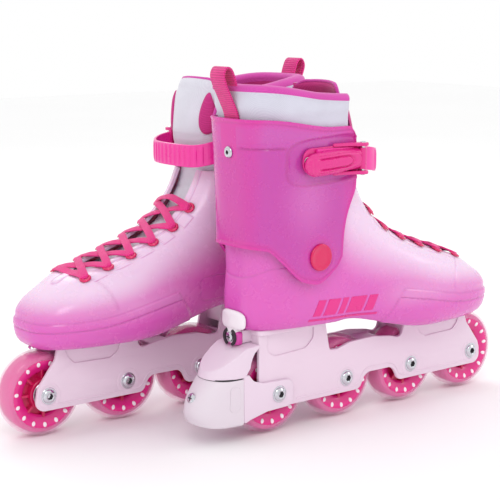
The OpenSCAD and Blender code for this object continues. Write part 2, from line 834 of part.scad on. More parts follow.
// Plate on the cuff with two ears that hold the lever's pin
module buckle_base() {
    low = strap_side_z - base_h/2;
    ear_low = [low, low + base_h - ear_t];
    color(hot_pink)
        difference() {
            union() {
                translate([base_x[0], -base_y - base_t, low])
                    cube([base_x[1] - base_x[0], base_t, base_h]);
                for (z = ear_low) {
                    translate([hinge_x, -hinge_y, z])
                        cylinder(h = ear_t, r = ear_r, $fn = 48);
                    translate([base_x[1] - 6, -hinge_y, z])
                        cube([hinge_x + ear_r - base_x[1] + 6, hinge_y - base_y - base_t/2, ear_t]);
                }
                translate([hinge_x, -hinge_y, low + 1])
                    cylinder(h = base_h - 2, r = hinge_pin_r, $fn = 32);
            }
            y_rod(base_screw_x, strap_side_z, -60, -30, screw_r + play);
        }
}

// Closing lever: a rounded bar with a knuckle round the pin
module buckle_lever() {
    mid_z = strap_side_z;
    color(hot_pink)
        difference() {
            union() {
                y_plate(-lever_y, -lever_y - lever_t) {
                    translate([lever_x + lever_h/2, mid_z])
                        circle(r = lever_h/2, $fn = 64);
                    translate([lever_x + lever_h/2, mid_z - lever_h/2])
                        square([hinge_x - lever_x - lever_h/2, lever_h]);
                }
                translate([hinge_x, -hinge_y, mid_z - lever_h/2])
                    cylinder(h = lever_h, r = knuckle_r, $fn = 48);
            }
            translate([hinge_x, -hinge_y, mid_z - lever_h])
                cylinder(h = 2*lever_h, r = hinge_pin_r + play, $fn = 32);
        }
}

module cuff_screws() {
    color(steel) {
        y_rod(strap_screw_x, strap_side_z, 42.6, strap_side_y + strap_t + 0.1, screw_r);
        y_rod(strap_screw_x, strap_side_z, strap_side_y + strap_t + 0.1,
              strap_side_y + strap_t + screw_head_t, screw_head_r);
        y_rod(base_screw_x, strap_side_z, -42.6, -base_y - base_t - 0.1, screw_r);
        y_rod(base_screw_x, strap_side_z, -base_y - base_t - 0.1, -base_y - base_t - 1, 4);
        back_face = lookup(back_screw_z, cuff_back);
        translate([back_face + cuff_t - 0.4, 0, back_screw_z])
            rotate([0, -90, 0]) {
                cylinder(h = cuff_t, r = screw_r, $fn = 32);
                translate([0, 0, cuff_t])
                    cylinder(h = screw_head_t, r = screw_head_r, $fn = 48);
            }
    }
}

// Webbing loop sewn between cuff and collar
function loop_edge(depth, y) = [for (i = [0:len(loop_line) - 1]) let (
    d = line_dir(loop_line, i),
    p = loop_line[i])
    [p[0] - d[1]*depth, y, p[1] + d[0]*depth]];

module pull_loop() {
    color(hot_pink)
        slab([loop_edge(loop_t/2, loop_half_w), loop_edge(loop_t/2, -loop_half_w)],
             [loop_edge(-loop_t/2, loop_half_w), loop_edge(-loop_t/2, -loop_half_w)]);
}

// Pivot rivets hold the cuff on the shell, one on each side
module pivot_rivets() {
    inside = 40 - shell_t;
    outside = lookup(pivot_z, cuff_half_w) + 0.1;
    color(red_pink)
        for (s = [-1, 1]) {
            y_rod(pivot_x, pivot_z, s*(inside + 0.1), s*outside, rivet_r);
            y_rod(pivot_x, pivot_z, s*(inside + 0.1), s*(inside + rivet_flange_t - 0.1), rivet_flange_r);
            y_rod(pivot_x, pivot_z, s*outside, s*(outside + rivet_head_t), rivet_head_r);
        }
}

// ============================== the pair ======================================
module boot_part(side, part) {
    if (part == "shell") shell();
    if (part == "frame") frame();
    if (part == "foot_liner") foot_liner();
    if (part == "tongue") tongue();
    if (part == "footbed") footbed();
    if (part == "laces") laces();
    if (part == "eyelets") eyelet_rings();
    if (part == "axle_bolts") axle_bolts(side);
    if (part == "frame_screws") frame_screws(side);
    if (part == "pivot_rivets") pivot_rivets();
}

module cuff_part(part) {
    if (part == "cuff") cuff();
    if (part == "ankle_liner") ankle_liner();
    if (part == "strap") strap();
    if (part == "buckle_base") buckle_base();
    if (part == "pull_loop") pull_loop();
    if (part == "cuff_screws") cuff_screws();
    if (part == "buckle_lever") buckle_lever();
}

module wheel_part(k, part) {
    if (part == "tyre") tyre(k);
    if (part == "hub") hub(k);
    if (part == "bearings") bearings(k);
}

for (side = sides) {
    for (part = boot_parts)
        place(side) boot_part(side, part);
    for (part = cuff_parts)
        place(side) cuff_part(part);
    for (k = [1:wheels])
        for (part = wheel_parts)
            place(side) wheel_part(k, part);
}
place("right") brake_arm();  // right_brake_arm
place("right") brake_pad();  // right_brake_pad
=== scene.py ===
import json
import math

import bmesh
import bpy
import numpy as np
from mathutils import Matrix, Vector


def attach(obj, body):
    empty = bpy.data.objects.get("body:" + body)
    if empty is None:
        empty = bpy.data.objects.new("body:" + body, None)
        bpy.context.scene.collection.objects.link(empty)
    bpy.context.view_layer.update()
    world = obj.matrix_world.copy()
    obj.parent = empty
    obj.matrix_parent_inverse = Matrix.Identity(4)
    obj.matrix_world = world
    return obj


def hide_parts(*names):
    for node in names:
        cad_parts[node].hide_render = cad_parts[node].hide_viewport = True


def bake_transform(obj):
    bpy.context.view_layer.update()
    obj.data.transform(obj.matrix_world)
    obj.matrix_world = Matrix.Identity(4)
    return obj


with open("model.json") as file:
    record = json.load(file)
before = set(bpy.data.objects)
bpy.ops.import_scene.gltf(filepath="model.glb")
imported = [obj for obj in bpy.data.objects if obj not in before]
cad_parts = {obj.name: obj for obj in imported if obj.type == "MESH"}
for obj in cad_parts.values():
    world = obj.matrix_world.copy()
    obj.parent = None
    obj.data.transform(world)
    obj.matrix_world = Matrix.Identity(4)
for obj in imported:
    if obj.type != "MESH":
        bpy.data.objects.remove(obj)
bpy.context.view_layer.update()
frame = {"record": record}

joints = {joint["name"]: joint for joint in frame["record"]["behaviour"]["joints"]}

# ------------------------------------------------------------------ measures, mm
# The same driving sizes as the CAD part, in a skate's own frame:
# x forward, y to the left, z up, origin on the ground midway between the axles.
SIDES = ("right", "left")
WHEELS = 4
CORE_R = 30
AXLE_Z = 38
PITCH = 80
RAIL_IN = 15
RAIL_OUT = 18
SOLE_Z = 96
FADE_TOP = 175
SHELL_T = 3
WAIST_X = -60
BALL_X = 50
BLUNT = 3.2
SLOT_HALF = 15
SLOT_FRONT = 80
SLOT_LOW = 120
SOLE_LINE = ((-160, 96), (-68, 96), (-55, 97), (-15, 89.5), (28, 81), (45, 80), (160, 80))
HEEL_LINE = ((96, -146), (99, -149), (104, -151.5), (112, -153), (122, -153), (150, -150), (175, -149),
             (230, -149))
NOSE_LINE = ((96, 126), (99, 130), (104, 132.5), (112, 133.5), (119, 132), (126, 126), (133, 113),
             (142.5, 92), (148, 69), (154, 45.5), (161.5, 22), (172, 0.5), (188, -18), (197, -26),
             (207, -32), (220, -38), (230, -42))
HEEL_HALF = ((96, 33), (99, 36), (104, 38.3), (112, 39.6), (122, 40), (230, 40))
BALL_HALF = ((96, 39), (99, 43), (104, 46.2), (112, 48.5), (122, 48.8), (133, 47), (150, 43), (170, 40),
             (230, 39.5))
SHELL_TOP = 220
SHELL_REAR = ((-170, 175), (-136, 175.6), (-122, 179), (-66, 214), (-60, 240), (160, 240))
EYELETS = 6
EYELET_Y = 25
EYELET_LEVELS = (142.5, 148, 154, 161.5, 172, 188)
PIVOT = (-95, 158)
CUFF_LOW = ((-160, 168), (-146, 167), (-134, 157), (-124, 147), (-112, 138), (-97, 135), (-84, 139),
            (-75, 146), (-69, 156))
CUFF_FRONT = ((140, -76), (150, -71), (175, -69), (190, -66), (201, -62), (210, -58), (216, -56.5),
              (245, -56), (260, -57.5), (268, -61))
CUFF_FLAP = ((140, -76), (150, -71), (175, -69), (190, -66), (206, -58), (216, -43), (226, -38), (252, -38),
             (262, -42), (268, -54))
CUFF_BACK = ((165, -155), (200, -155.5), (275, -159), (310, -160.6))
CUFF_HALF = ((135, 44.2), (200, 44.4), (225, 45), (250, 45.4), (275, 46.4))
CUFF_TOPS = (275, 267)
CUFF_T = 3
MID_X = -97
BACK_SHARE = 0.55
ANKLE_BACK = ((160, -145.2), (180, -145.2), (197, -149.8), (275, -153.4), (285, -154.5), (310, -155.5))
ANKLE_FRONT = ((150, -78), (224, -78), (236, -62), (310, -62))
ANKLE_FLAP = ((150, -78), (224, -78), (236, -47), (246, -42), (268, -42), (284, -48), (300, -57), (310, -60))
ANKLE_IN_Y = 33.6
ANKLE_THIN_Y = 35.3
ANKLE_THIN_Z = 240
ANKLE_TOPS = (305, 295)
SPLIT_R = 57.5
TONGUE_LINE = ((70, 137), (48, 143), (26, 151), (5, 161.5), (-12, 173), (-24, 184), (-32.5, 194.5),
               (-38.5, 205), (-42.5, 216), (-42.5, 224), (-37, 237), (-34, 254), (-37, 280), (-44, 303))
TONGUE_HALF = 31
TONGUE_ROLL = 12
TONGUE_LEAN = {"right": 11, "left": 0}
STRAP_Z = (235, 240)
STRAP_FRONT = -20
STRAP_CORNERS = (-54, -38)
STRAP_Y = 46
STRAP_ENDS = (-88, -104)
HINGE = (-57, -53.6)
LEVER_TILT = math.radians(3.6)
PULL_SCREW_Z = 247
HEEL_SCREW = (-157, 90)
TOWER_TOPS = (95.9, 79.9)
LOOP_LINE = ((-153.1, 240), (-154.1, 262), (-154.8, 277), (-161, 291), (-167, 303), (-169, 311),
             (-166, 316.5), (-161.5, 315), (-157.8, 307), (-155.4, 297), (-154.6, 289))
BRAKE_Y = 18.3
BRAKE_ARM_T = 3
BRAKE_SEAM = 58
BRAKE_SCREW_Z = 43
BRAKE_CLEAR_R = 41.5
BRAKE_PLAN = (3.4, 2.1)


# ------------------------------------------------------------------ numbers and curves
def smooth(t):
    """Eases from 0 to 1, level at both ends."""
    c = np.clip(t, 0, 1)
    return c*c*(3 - 2*c)


def mix(a, b, t):
    return a + (b - a)*t


def ridge(distance, width):
    """1 on a line, falling softly to 0 at a distance of width from it."""
    return smooth(1 - np.abs(distance)/width)


def power(v, e):
    """Power that keeps the sign."""
    return np.sign(v)*np.abs(v)**e


def lookup(v, points):
    """Smooth curve through the points of a table, without overshoot, held level past its ends."""
    x, y = np.array(points, float).T
    h = np.diff(x)
    d = np.diff(y)/h
    product, total = d[:-1]*d[1:], d[:-1] + d[1:]
    m = np.concatenate([d[:1], np.where(product > 0, 2*product/np.where(total == 0, 1, total), 0), d[-1:]])
    v = np.clip(v, x[0], x[-1])
    k = np.clip(np.searchsorted(x, v, side="right") - 1, 0, len(x) - 2)
    t = (v - x[k])/h[k]
    return ((1 + 2*t)*(1 - t)**2*y[k] + t*(1 - t)**2*h[k]*m[k]
            + t*t*(3 - 2*t)*y[k + 1] + t*t*(t - 1)*h[k]*m[k + 1])


def unit(v):
    v = np.asarray(v, float)
    return v/np.maximum(np.linalg.norm(v, axis=-1, keepdims=True), 1e-9)


def even(points, count):
    """The same line with evenly spaced points."""
    points = np.asarray(points, float)
    s = np.concatenate([[0], np.cumsum(np.linalg.norm(np.diff(points, axis=0), axis=1))])
    t = np.linspace(0, s[-1], count)
    return np.stack([np.interp(t, s, points[:, k]) for k in range(points.shape[1])], -1)


def spline(points, count):
    """Smooth line through the given points (Catmull-Rom), evenly spaced."""
    p = np.asarray(points, float)
    p = np.vstack([2*p[0] - p[1], p, 2*p[-1] - p[-2]])
    t = np.linspace(0, 1, 16, endpoint=False)[:, None]
    rows = []
    for a, b, c, d in zip(p, p[1:], p[2:], p[3:]):
        rows.append(0.5*(2*b + (c - a)*t + (2*a - 5*b + 4*c - d)*t**2 + (3*b - a - 3*c + d)*t**3))
    return even(np.vstack([*rows, p[-2:-1]]), count)


def rounded(corners, steps=7):
    """Closed outline through corners (x, y, radius), each corner rounded with an arc."""
    out = []
    n = len(corners)
    for i, (x, y, r) in enumerate(corners):
        here = np.array([x, y], float)
        a = np.array(corners[i - 1][:2], float) - here
        b = np.array(corners[(i + 1) % n][:2], float) - here
        la, lb = np.linalg.norm(a), np.linalg.norm(b)
        a, b = a/la, b/lb
        half = math.acos(max(-1, min(1, float(a @ b))))/2
        if r <= 0 or half > math.pi/2 - 0.02:
            out.append(here)
            continue
        reach = min(r/math.tan(half), 0.49*la, 0.49*lb)
        r = reach*math.tan(half)
        centre = here + unit(a + b)*r/math.sin(half)
        start, end = here + a*reach - centre, here + b*reach - centre
        turn = math.atan2(start[0]*end[1] - start[1]*end[0], float(start @ end))
        for k in range(steps + 1):
            c, s = math.cos(turn*k/steps), math.sin(turn*k/steps)
            out.append(centre + [start[0]*c - start[1]*s, start[0]*s + start[1]*c])
    return np.array(out)


def box(x0, y0, x1, y1, r, steps=7):
    """Rounded rectangle between two opposite corners."""
    return rounded([(x0, y0, r), (x1, y0, r), (x1, y1, r), (x0, y1, r)], steps)


def disc(r, steps=10):
    a = np.linspace(0, 2*np.pi, steps, endpoint=False)
    return np.stack([r*np.cos(a), r*np.sin(a)], -1)


def constant(value):
    """Function that gives the same value for every place."""
    return lambda v: np.full(np.shape(v), float(value))


# ------------------------------------------------------------------ building meshes
def place(side, points):
    """Millimetres in a skate's own frame to metres in the shared frame."""
    first = joints[f"{side}_wheel_1_spin"]["pos_m"]
    last = joints[f"{side}_wheel_{WHEELS}_spin"]["pos_m"]
    heading = 1 if last[0] > first[0] else -1
    p = np.asarray(points, float)/1000
    return np.stack([(first[0] + last[0])/2 + heading*p[..., 0], first[1] + heading*p[..., 1], p[..., 2]], -1)


def axle_x(k):
    """Place of axle k along the skate, counted from 1 at the heel."""
    return (k - (WHEELS + 1)/2)*PITCH


def mirrored(profile):
    """Profile of (radius, height) followed by its own mirror image, back to the start."""
    return [*profile, *[(r, -h) for r, h in profile[::-1]]]


class Shape:
    """Gathers grids, lathed and swept forms of one piece, in millimetres."""

    def __init__(self):
        self.verts = np.zeros((0, 3))
        self.faces = []
        self.mats = []
        self.values = {}

    def add(self, verts, faces, mat=0, **values):
        verts = np.asarray(verts, float).reshape(-1, 3)
        n = len(self.verts)
        self.verts = np.vstack([self.verts, verts])
        self.faces += [[n + int(k) for k in f] for f in faces]
        self.mats += [mat]*len(faces) if np.isscalar(mat) else list(mat)
        for name in set(self.values) | set(values):
            old = self.values.get(name, np.zeros(n))
            new = np.zeros(len(verts)) + np.asarray(values.get(name, 0.0), float).reshape(-1)
            self.values[name] = np.concatenate([old, new])

    def grid(self, p, wrap=False, loop=False, mat=0, caps=False, **values):
        """p[row, column]; wrap joins the last column to the first, loop the last row to the first."""
        rows, cols = p.shape[:2]
        i, j = np.meshgrid(np.arange(rows if loop else rows - 1), np.arange(cols if wrap else cols - 1),
                           indexing="ij")
        i, j = i.ravel(), j.ravel()
        i2, j2 = (i + 1) % rows, (j + 1) % cols
        faces = np.stack([i*cols + j, i*cols + j2, i2*cols + j2, i2*cols + j], -1).tolist()
        mats = mat if np.isscalar(mat) else np.asarray(mat).reshape(rows, cols)[i, j].tolist()
        if caps:
            faces.append(list(range(cols))[::-1])
            faces.append([(rows - 1)*cols + k for k in range(cols)])
            mats = mats if np.isscalar(mats) else mats + [mats[0], mats[-1]]
        self.add(p, faces, mats, **values)

    def lathe(self, profile, centre, axis, steps=48, mat=0, closed=False):
        """profile of (radius, height) turned about an axis; the radius may be a function of the angle."""
        axis = unit(axis)
        e1 = unit(np.cross(axis, [0, 0, 1] if abs(axis[2]) < 0.9 else [1, 0, 0]))
        e2 = np.cross(axis, e1)
        a = np.linspace(0, 2*np.pi, steps, endpoint=False)
        rows = []
        for r, h in profile:
            r = r(a) if callable(r) else r
            rows.append(np.asarray(centre) + (r*np.cos(a))[:, None]*e1 + (r*np.sin(a))[:, None]*e2 + h*axis)
        self.grid(np.array(rows), wrap=True, loop=closed, mat=mat)

    def sweep(self, path, section, up, mat=0, scale=None):
        """A closed section of (side, up) points carried along a path."""
        path = np.asarray(path, float)
        d = unit(np.gradient(path, axis=0))
        side = unit(np.cross(d, np.broadcast_to(up, path.shape)))
        top = np.cross(side, d)
        section = np.asarray(section, float)
        scale = np.ones((len(path), 2)) if scale is None else scale
        p = (path[:, None] + side[:, None]*(section[None, :, :1]*scale[:, None, :1])
             + top[:, None]*(section[None, :, 1:]*scale[:, None, 1:]))
        along = np.concatenate([[0], np.cumsum(np.linalg.norm(np.diff(path, axis=0), axis=1))])
        self.grid(p[:, ::-1], wrap=True, mat=mat, caps=True, along=np.repeat(along, len(section)),
                  across=np.tile(section[:, 0], len(path)))

    def plate(self, outlines, low, high, edge=0.6, flat="xz", mat=0):
        """Plate with rounded edges; the first outline is its rim, others are holes. flat is xz or xy."""
        curve = bpy.data.curves.new("plate", "CURVE")
        curve.dimensions = "2D"
        curve.fill_mode = "BOTH"
        curve.extrude = (high - low)/2 - edge
        curve.bevel_depth = edge
        curve.bevel_resolution = 2
        curve.offset = -edge
        for outline in outlines:
            line = curve.splines.new("POLY")
            line.points.add(len(outline) - 1)
            for point, (x, y) in zip(line.points, outline):
                point.co = (x, y, 0, 1)
            line.use_cyclic_u = True
        holder = bpy.data.objects.new("plate", curve)
        bpy.context.scene.collection.objects.link(holder)
        mesh = bpy.data.meshes.new_from_object(holder.evaluated_get(bpy.context.evaluated_depsgraph_get()))
        co = np.array([v.co for v in mesh.vertices], float).reshape(-1, 3)
        mid = (low + high)/2
        p = np.stack([co[:, 0], mid - co[:, 2], co[:, 1]], -1) if flat == "xz" else co + [0, 0, mid]
        self.add(p, [list(f.vertices) for f in mesh.polygons], mat)
        bpy.data.objects.remove(holder)
        bpy.data.curves.remove(curve)
        bpy.data.meshes.remove(mesh)

    def build(self, name, side, looks, weld=0.02, sharp=38, thick=None, bevel=None):
        mesh = bpy.data.meshes.new(name)
        mesh.from_pydata(place(side, self.verts).tolist(), [], self.faces)
        for key, value in self.values.items():
            mesh.attributes.new(key, "FLOAT", "POINT").data.foreach_set("value", value.astype(np.float32))
        mesh.polygons.foreach_set("material_index", self.mats)
        bm = bmesh.new()
        bm.from_mesh(mesh)
        bmesh.ops.remove_doubles(bm, verts=bm.verts, dist=weld/1000)
        bmesh.ops.dissolve_degenerate(bm, edges=bm.edges, dist=weld/4000)
        if thick is None:
            bmesh.ops.recalc_face_normals(bm, faces=bm.faces)
        bm.to_mesh(mesh)
        bm.free()
        obj = bpy.data.objects.new(name, mesh)
        bpy.context.scene.collection.objects.link(obj)
        for look in looks:
            mesh.materials.append(LOOKS[look])
        if thick:
            solid = obj.modifiers.new("thick", "SOLIDIFY")
            solid.thickness = thick/1000
            solid.offset = -1
            solid.use_even_offset = False
        if bevel:
            round_off = obj.modifiers.new("edge", "BEVEL")
            round_off.width = bevel/1000
            round_off.segments = 3
            round_off.angle_limit = math.radians(50)
        if thick or bevel:
            graph = bpy.context.evaluated_depsgraph_get()
            done = bpy.data.meshes.new_from_object(obj.evaluated_get(graph), preserve_all_data_layers=True,
                                                   depsgraph=graph)
            obj.modifiers.clear()
            obj.data = done
        obj.data.polygons.foreach_set("use_smooth", [True]*len(obj.data.polygons))
        obj.data.set_sharp_from_angle(angle=math.radians(sharp))
        return obj


def put(obj, body, slot, *nodes):
    """The body that a piece rides on, its material slot, which is not used, and the CAD nodes that it stands
    for.
    """
    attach(obj, body)
    if nodes:
        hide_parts(*nodes)


def band(half_w, half_t, r=0.45):
    """Rounded flat section of a strap or lace."""
    return box(-half_w, -half_t, half_w, half_t, r, 3)


# ------------------------------------------------------------------ materials
def colour(r, g, b):
    """Screen colour of 0 to 255 a channel to the renderer's linear one."""
    return tuple(c/12.92 if c <= 0.04045 else ((c + 0.055)/1.055)**2.4
                 for c in (r/255, g/255, b/255)) + (1.0,)


class Look:
    """A procedural material on object coordinates in metres."""

    def __init__(self, name, **surface):
        self.material = bpy.data.materials.new(name)
        self.material.use_nodes = True
        self.tree = self.material.node_tree
        self.surface = self.tree.nodes["Principled BSDF"]
        for key, value in surface.items():
            self.surface.inputs[key.replace("_", " ")].default_value = value
        self.place = self.node("ShaderNodeTexCoord").outputs["Object"]
        self.height = None

    def node(self, kind, settings=None, **inputs):
        made = self.tree.nodes.new(kind)
        for key, value in (settings or {}).items():
            setattr(made, key, value)
        for key, value in inputs.items():
            spot = made.inputs[int(key[1:]) if key[0] == "i" and key[1:].isdigit() else key.replace("_", " ")]
            if isinstance(value, bpy.types.NodeSocket):
                self.tree.links.new(value, spot)
            else:
                spot.default_value = value
        return made

    def value(self, name):
        return self.node("ShaderNodeAttribute", {"attribute_name": name}).outputs["Fac"]

    def math(self, operation, a, b=0.0, c=0.0):
        return self.node("ShaderNodeMath", {"operation": operation}, i0=a, i1=b, i2=c).outputs[0]

    def noise(self, scale, detail=3, roughness=0.5):
        return self.node("ShaderNodeTexNoise", Vector=self.place, Scale=scale, Detail=detail,
                         Roughness=roughness).outputs["Fac"]

    def span(self, value, low, high, to_low=0.0, to_high=1.0):
        return self.node("ShaderNodeMapRange", i0=value, i1=low, i2=high, i3=to_low, i4=to_high).outputs[0]

    def blend(self, a, b, fac):
        return self.node("ShaderNodeMix", {"data_type": "RGBA"}, i0=fac, i6=a, i7=b).outputs[2]

    def paint(self, base, variation=0.05, scale=35):
        """Sets the colour with a soft, uneven cast over it."""
        cast = self.span(self.noise(scale), 0.3, 0.7, 1 - variation, 1 + variation)
        tone = self.node("ShaderNodeHueSaturation", Color=base, Value=cast)
        self.tree.links.new(tone.outputs[0], self.surface.inputs["Base Color"])
        return self

    def rough(self, low, high, scale=60):
        self.tree.links.new(self.span(self.noise(scale, 5, 0.65), 0.3, 0.7, low, high),
                            self.surface.inputs["Roughness"])
        return self

    def bump(self, height, strength, distance):
        """Adds a bump layer over those already there; distance in metres."""
        layer = self.node("ShaderNodeBump", Height=height, Strength=strength, Distance=distance)
        if self.height:
            self.tree.links.new(self.height, layer.inputs["Normal"])
        self.height = layer.outputs[0]
        self.tree.links.new(self.height, self.surface.inputs["Normal"])
        return self

    def wave(self, period_mm, direction):
        """Parallel threads along one axis, a period apart."""
        return self.node("ShaderNodeTexWave", {"bands_direction": direction}, Vector=self.place,
                         Scale=2*math.pi/(20*period_mm/1000), Distortion=0.6, Detail=1.0,
                         i4=3.0).outputs["Fac"]

    def ribs(self, name, period_mm):
        """Ribs across the named length, which is in millimetres."""
        return self.math("SINE", self.math("MULTIPLY", self.value(name), 2*math.pi/period_mm))


def moulded(name, dark, pale=None, hot=None, painted_groove_shade=None, rough=(0.2, 0.32), **surface):
    """Moulded, slightly translucent plastic that runs from one colour to another."""
    look = Look(name, **{"Coat_Weight": 0.25, "Coat_Roughness": 0.12, **surface})
    base = dark
    if pale:
        base = look.blend(dark, pale, look.value("pale"))
    if hot:
        base = look.blend(base, hot, look.value("hot"))
    # the line attribute mixes in a darker colour along grooves and steps: painted shade
    if painted_groove_shade:
        base = look.blend(base, painted_groove_shade, look.value("line"))
    look.paint(base, 0.012, 14).rough(*rough)
    look.bump(look.noise(900, 2), 0.05, 0.0001)
    look.bump(look.noise(35, 2), 0.08, 0.0004)
    return look.material


def cloth(name, base, second=None, thread=0.75, puff=0.25, rough=0.8):
    """Woven cloth over padding."""
    look = Look(name, Roughness=rough, Sheen_Weight=0.25, Sheen_Roughness=0.5)
    threads = look.math("MAXIMUM", look.wave(thread, "DIAGONAL"), look.wave(thread*1.15, "Z"))
    tint = look.blend(base, second or base, look.span(threads, 0.2, 0.9))
    look.paint(tint, 0.035, 50)
    look.bump(look.noise(70, 3), puff, 0.0012)
    look.bump(threads, 0.35, 0.00025)
    return look.material


def woven_band(name, base, dark, rib=1.6):
    """Flat woven lace or webbing: ribs across it, threads along it."""
    look = Look(name, Roughness=0.7, Sheen_Weight=0.3, Sheen_Roughness=0.4)
    across = look.ribs("along", rib)
    threads = look.ribs("across", 1.1)
    height = look.math("ADD", across, look.math("MULTIPLY", threads, 0.6))
    # the low parts of the ribs and threads take the dark colour: painted shade in the hollows of the weave
    look.paint(look.blend(dark, base, look.span(height, -1.4, 0.6)), 0.05, 120)
    look.bump(height, 0.6, 0.0003)
    look.bump(look.noise(900, 2), 0.2, 0.0002)
    return look.material


def metal(name, base, rough=(0.08, 0.2), metallic=1.0, **surface):
    look = Look(name, Metallic=metallic, **surface)
    look.paint(base, 0.04, 90).rough(*rough, 300)
    look.bump(look.noise(700, 4, 0.7), 0.08, 0.0001)
    return look.material


def tyre_look():
    look = Look("clear_tyre", Alpha=0.3, Coat_Weight=1.0, Coat_Roughness=0.03)
    look.paint(colour(250, 160, 212), 0.015, 40).rough(0.04, 0.14, 90)
    look.bump(look.noise(120, 2), 0.05, 0.0004)
    return look.material


LOOKS = {
    # shell and cuff: the fourth, darker colour is painted shade along their grooves, creases and steps
    "shell": moulded("shell_plastic", colour(216, 92, 184), colour(234, 202, 229), colour(218, 84, 182),
                     colour(196, 92, 168), Subsurface_Weight=0.12, Subsurface_Scale=0.01),
    "cuff": moulded("cuff_plastic", colour(192, 62, 164), colour(202, 92, 178), colour(212, 46, 158),
                    colour(176, 44, 134), Subsurface_Weight=0.1, Subsurface_Scale=0.008),
    "frame": moulded("frame_plastic", colour(228, 206, 222), rough=(0.3, 0.42), Coat_Weight=0.12),
    "brake": moulded("brake_plastic", colour(226, 206, 222), rough=(0.28, 0.4), Coat_Weight=0.15),
    "pad": moulded("brake_rubber", colour(220, 208, 218), rough=(0.4, 0.52), Coat_Weight=0.05),
    # dark is painted shade for screw sockets and slots and for the seam between brake housing and pad; the
    # arcs beside the heel screw use it too
    "dark": moulded("painted_shade_gap", colour(40, 32, 40), rough=(0.5, 0.6), Coat_Weight=0.0),
    "liner": cloth("liner_cloth", colour(214, 213, 225), colour(202, 201, 216), 0.7, 0.12, 0.62),
    "rim": cloth("rim_cloth", colour(218, 74, 176), colour(200, 60, 160), 0.9, 0.3),
    "lining": cloth("lining_cloth", colour(206, 44, 136), colour(184, 30, 116), 0.9, 0.3),
    "tongue": cloth("tongue_cloth", colour(222, 220, 229), colour(208, 206, 218), 0.8, 0.15, 0.65),
    "footbed": cloth("footbed_cloth", colour(228, 130, 186), colour(210, 106, 166), 1.2, 0.4),
    # lace and webbing: the second, darker colour is painted shade in the hollows of the weave
    "lace": woven_band("lace_cloth", colour(244, 44, 146), colour(222, 24, 118), 1.5),
    "webbing": woven_band("webbing", colour(236, 40, 144), colour(190, 16, 104), 1.9),
    "eyelet": metal("eyelet_metal", colour(214, 20, 96), (0.15, 0.3), 0.3, Coat_Weight=0.5),
    "steel": metal("bolt_steel", colour(206, 208, 214)),
    "race": metal("bearing_steel", colour(190, 190, 196), (0.2, 0.35)),
    "rivet": moulded("rivet_plastic", colour(212, 8, 88), rough=(0.16, 0.26)),
    "strap": moulded("strap_plastic", colour(236, 44, 156), rough=(0.24, 0.36)),
    "buckle": moulded("buckle_plastic", colour(220, 36, 134), rough=(0.2, 0.32)),
    "tyre": tyre_look(),
    "hub": moulded("wheel_core", colour(226, 34, 134), rough=(0.16, 0.26)),
    "spokes": moulded("wheel_spokes", colour(200, 12, 84), rough=(0.25, 0.35)),
    "spots": moulded("wheel_spots", colour(252, 240, 248), rough=(0.25, 0.35)),
    "mark": moulded("side_mark", colour(224, 26, 134), rough=(0.25, 0.35)),
    "white": moulded("heel_tab_plastic", colour(236, 226, 234), rough=(0.28, 0.4)),
    "lug": moulded("heel_lug_plastic", colour(206, 60, 160), rough=(0.28, 0.4)),
}


# ------------------------------------------------------------------ boot surface
def level_z(h, x):
    """Height of a level of the boot at length x; low levels follow the sloping sole."""
    return h + (lookup(x, SOLE_LINE) - SOLE_Z)*smooth((FADE_TOP - h)/(FADE_TOP - SOLE_Z))


def boot_point(a, h, inset=0.0):
    """Point of the boot at angle a round level h, from the toe by the left side."""
    back = lookup(h, HEEL_LINE) + inset
    front = lookup(h + inset, NOSE_LINE) - inset
    x = (front + back)/2 + (front - back)/2*power(np.cos(a), 2/BLUNT)
    w = mix(lookup(h, HEEL_HALF), lookup(h, BALL_HALF), smooth((x - WAIST_X)/(BALL_X - WAIST_X))) - inset
    return np.stack([x, w*power(np.sin(a), 2/BLUNT), level_z(h, x)], -1)


def level_at(x, z):
    """Level of the boot's surface that passes through height z at length x."""
    h = np.array(z, float)
    for _ in range(12):
        h = z - (lookup(x, SOLE_LINE) - SOLE_Z)*smooth((FADE_TOP - h)/(FADE_TOP - SOLE_Z))
    return h


def side_y(x, z, inset=0.0):
    """Half-width of the boot at a length and height."""
    h = level_at(x, z)
    back, front = lookup(h, HEEL_LINE) + inset, lookup(h + inset, NOSE_LINE) - inset
    c = np.clip(np.abs((2*x - front - back)/(front - back)), 0, 1)**(BLUNT/2)
    w = mix(lookup(h, HEEL_HALF), lookup(h, BALL_HALF), smooth((x - WAIST_X)/(BALL_X - WAIST_X))) - inset
    return w*np.sqrt(1 - c*c)**(2/BLUNT)


def boot_ring(h, cols, inset, edge_y):
    """Level h from one slot edge round the heel to the other, evenly spaced."""
    fine = np.linspace(0, np.pi/2, 1500)
    p = boot_point(fine, h, inset)
    middle = SLOT_FRONT - edge_y
    w = np.where(p[:, 0] < middle, edge_y, np.sqrt(np.maximum(0, edge_y**2 - (p[:, 0] - middle)**2)))
    inside = np.nonzero((p[:, 1] < w) & (p[:, 2] > SLOT_LOW))[0]
    start = fine[inside[-1]] if len(inside) else 0
    return even(boot_point(np.linspace(start, 2*np.pi - start, 2400), h, inset), cols)


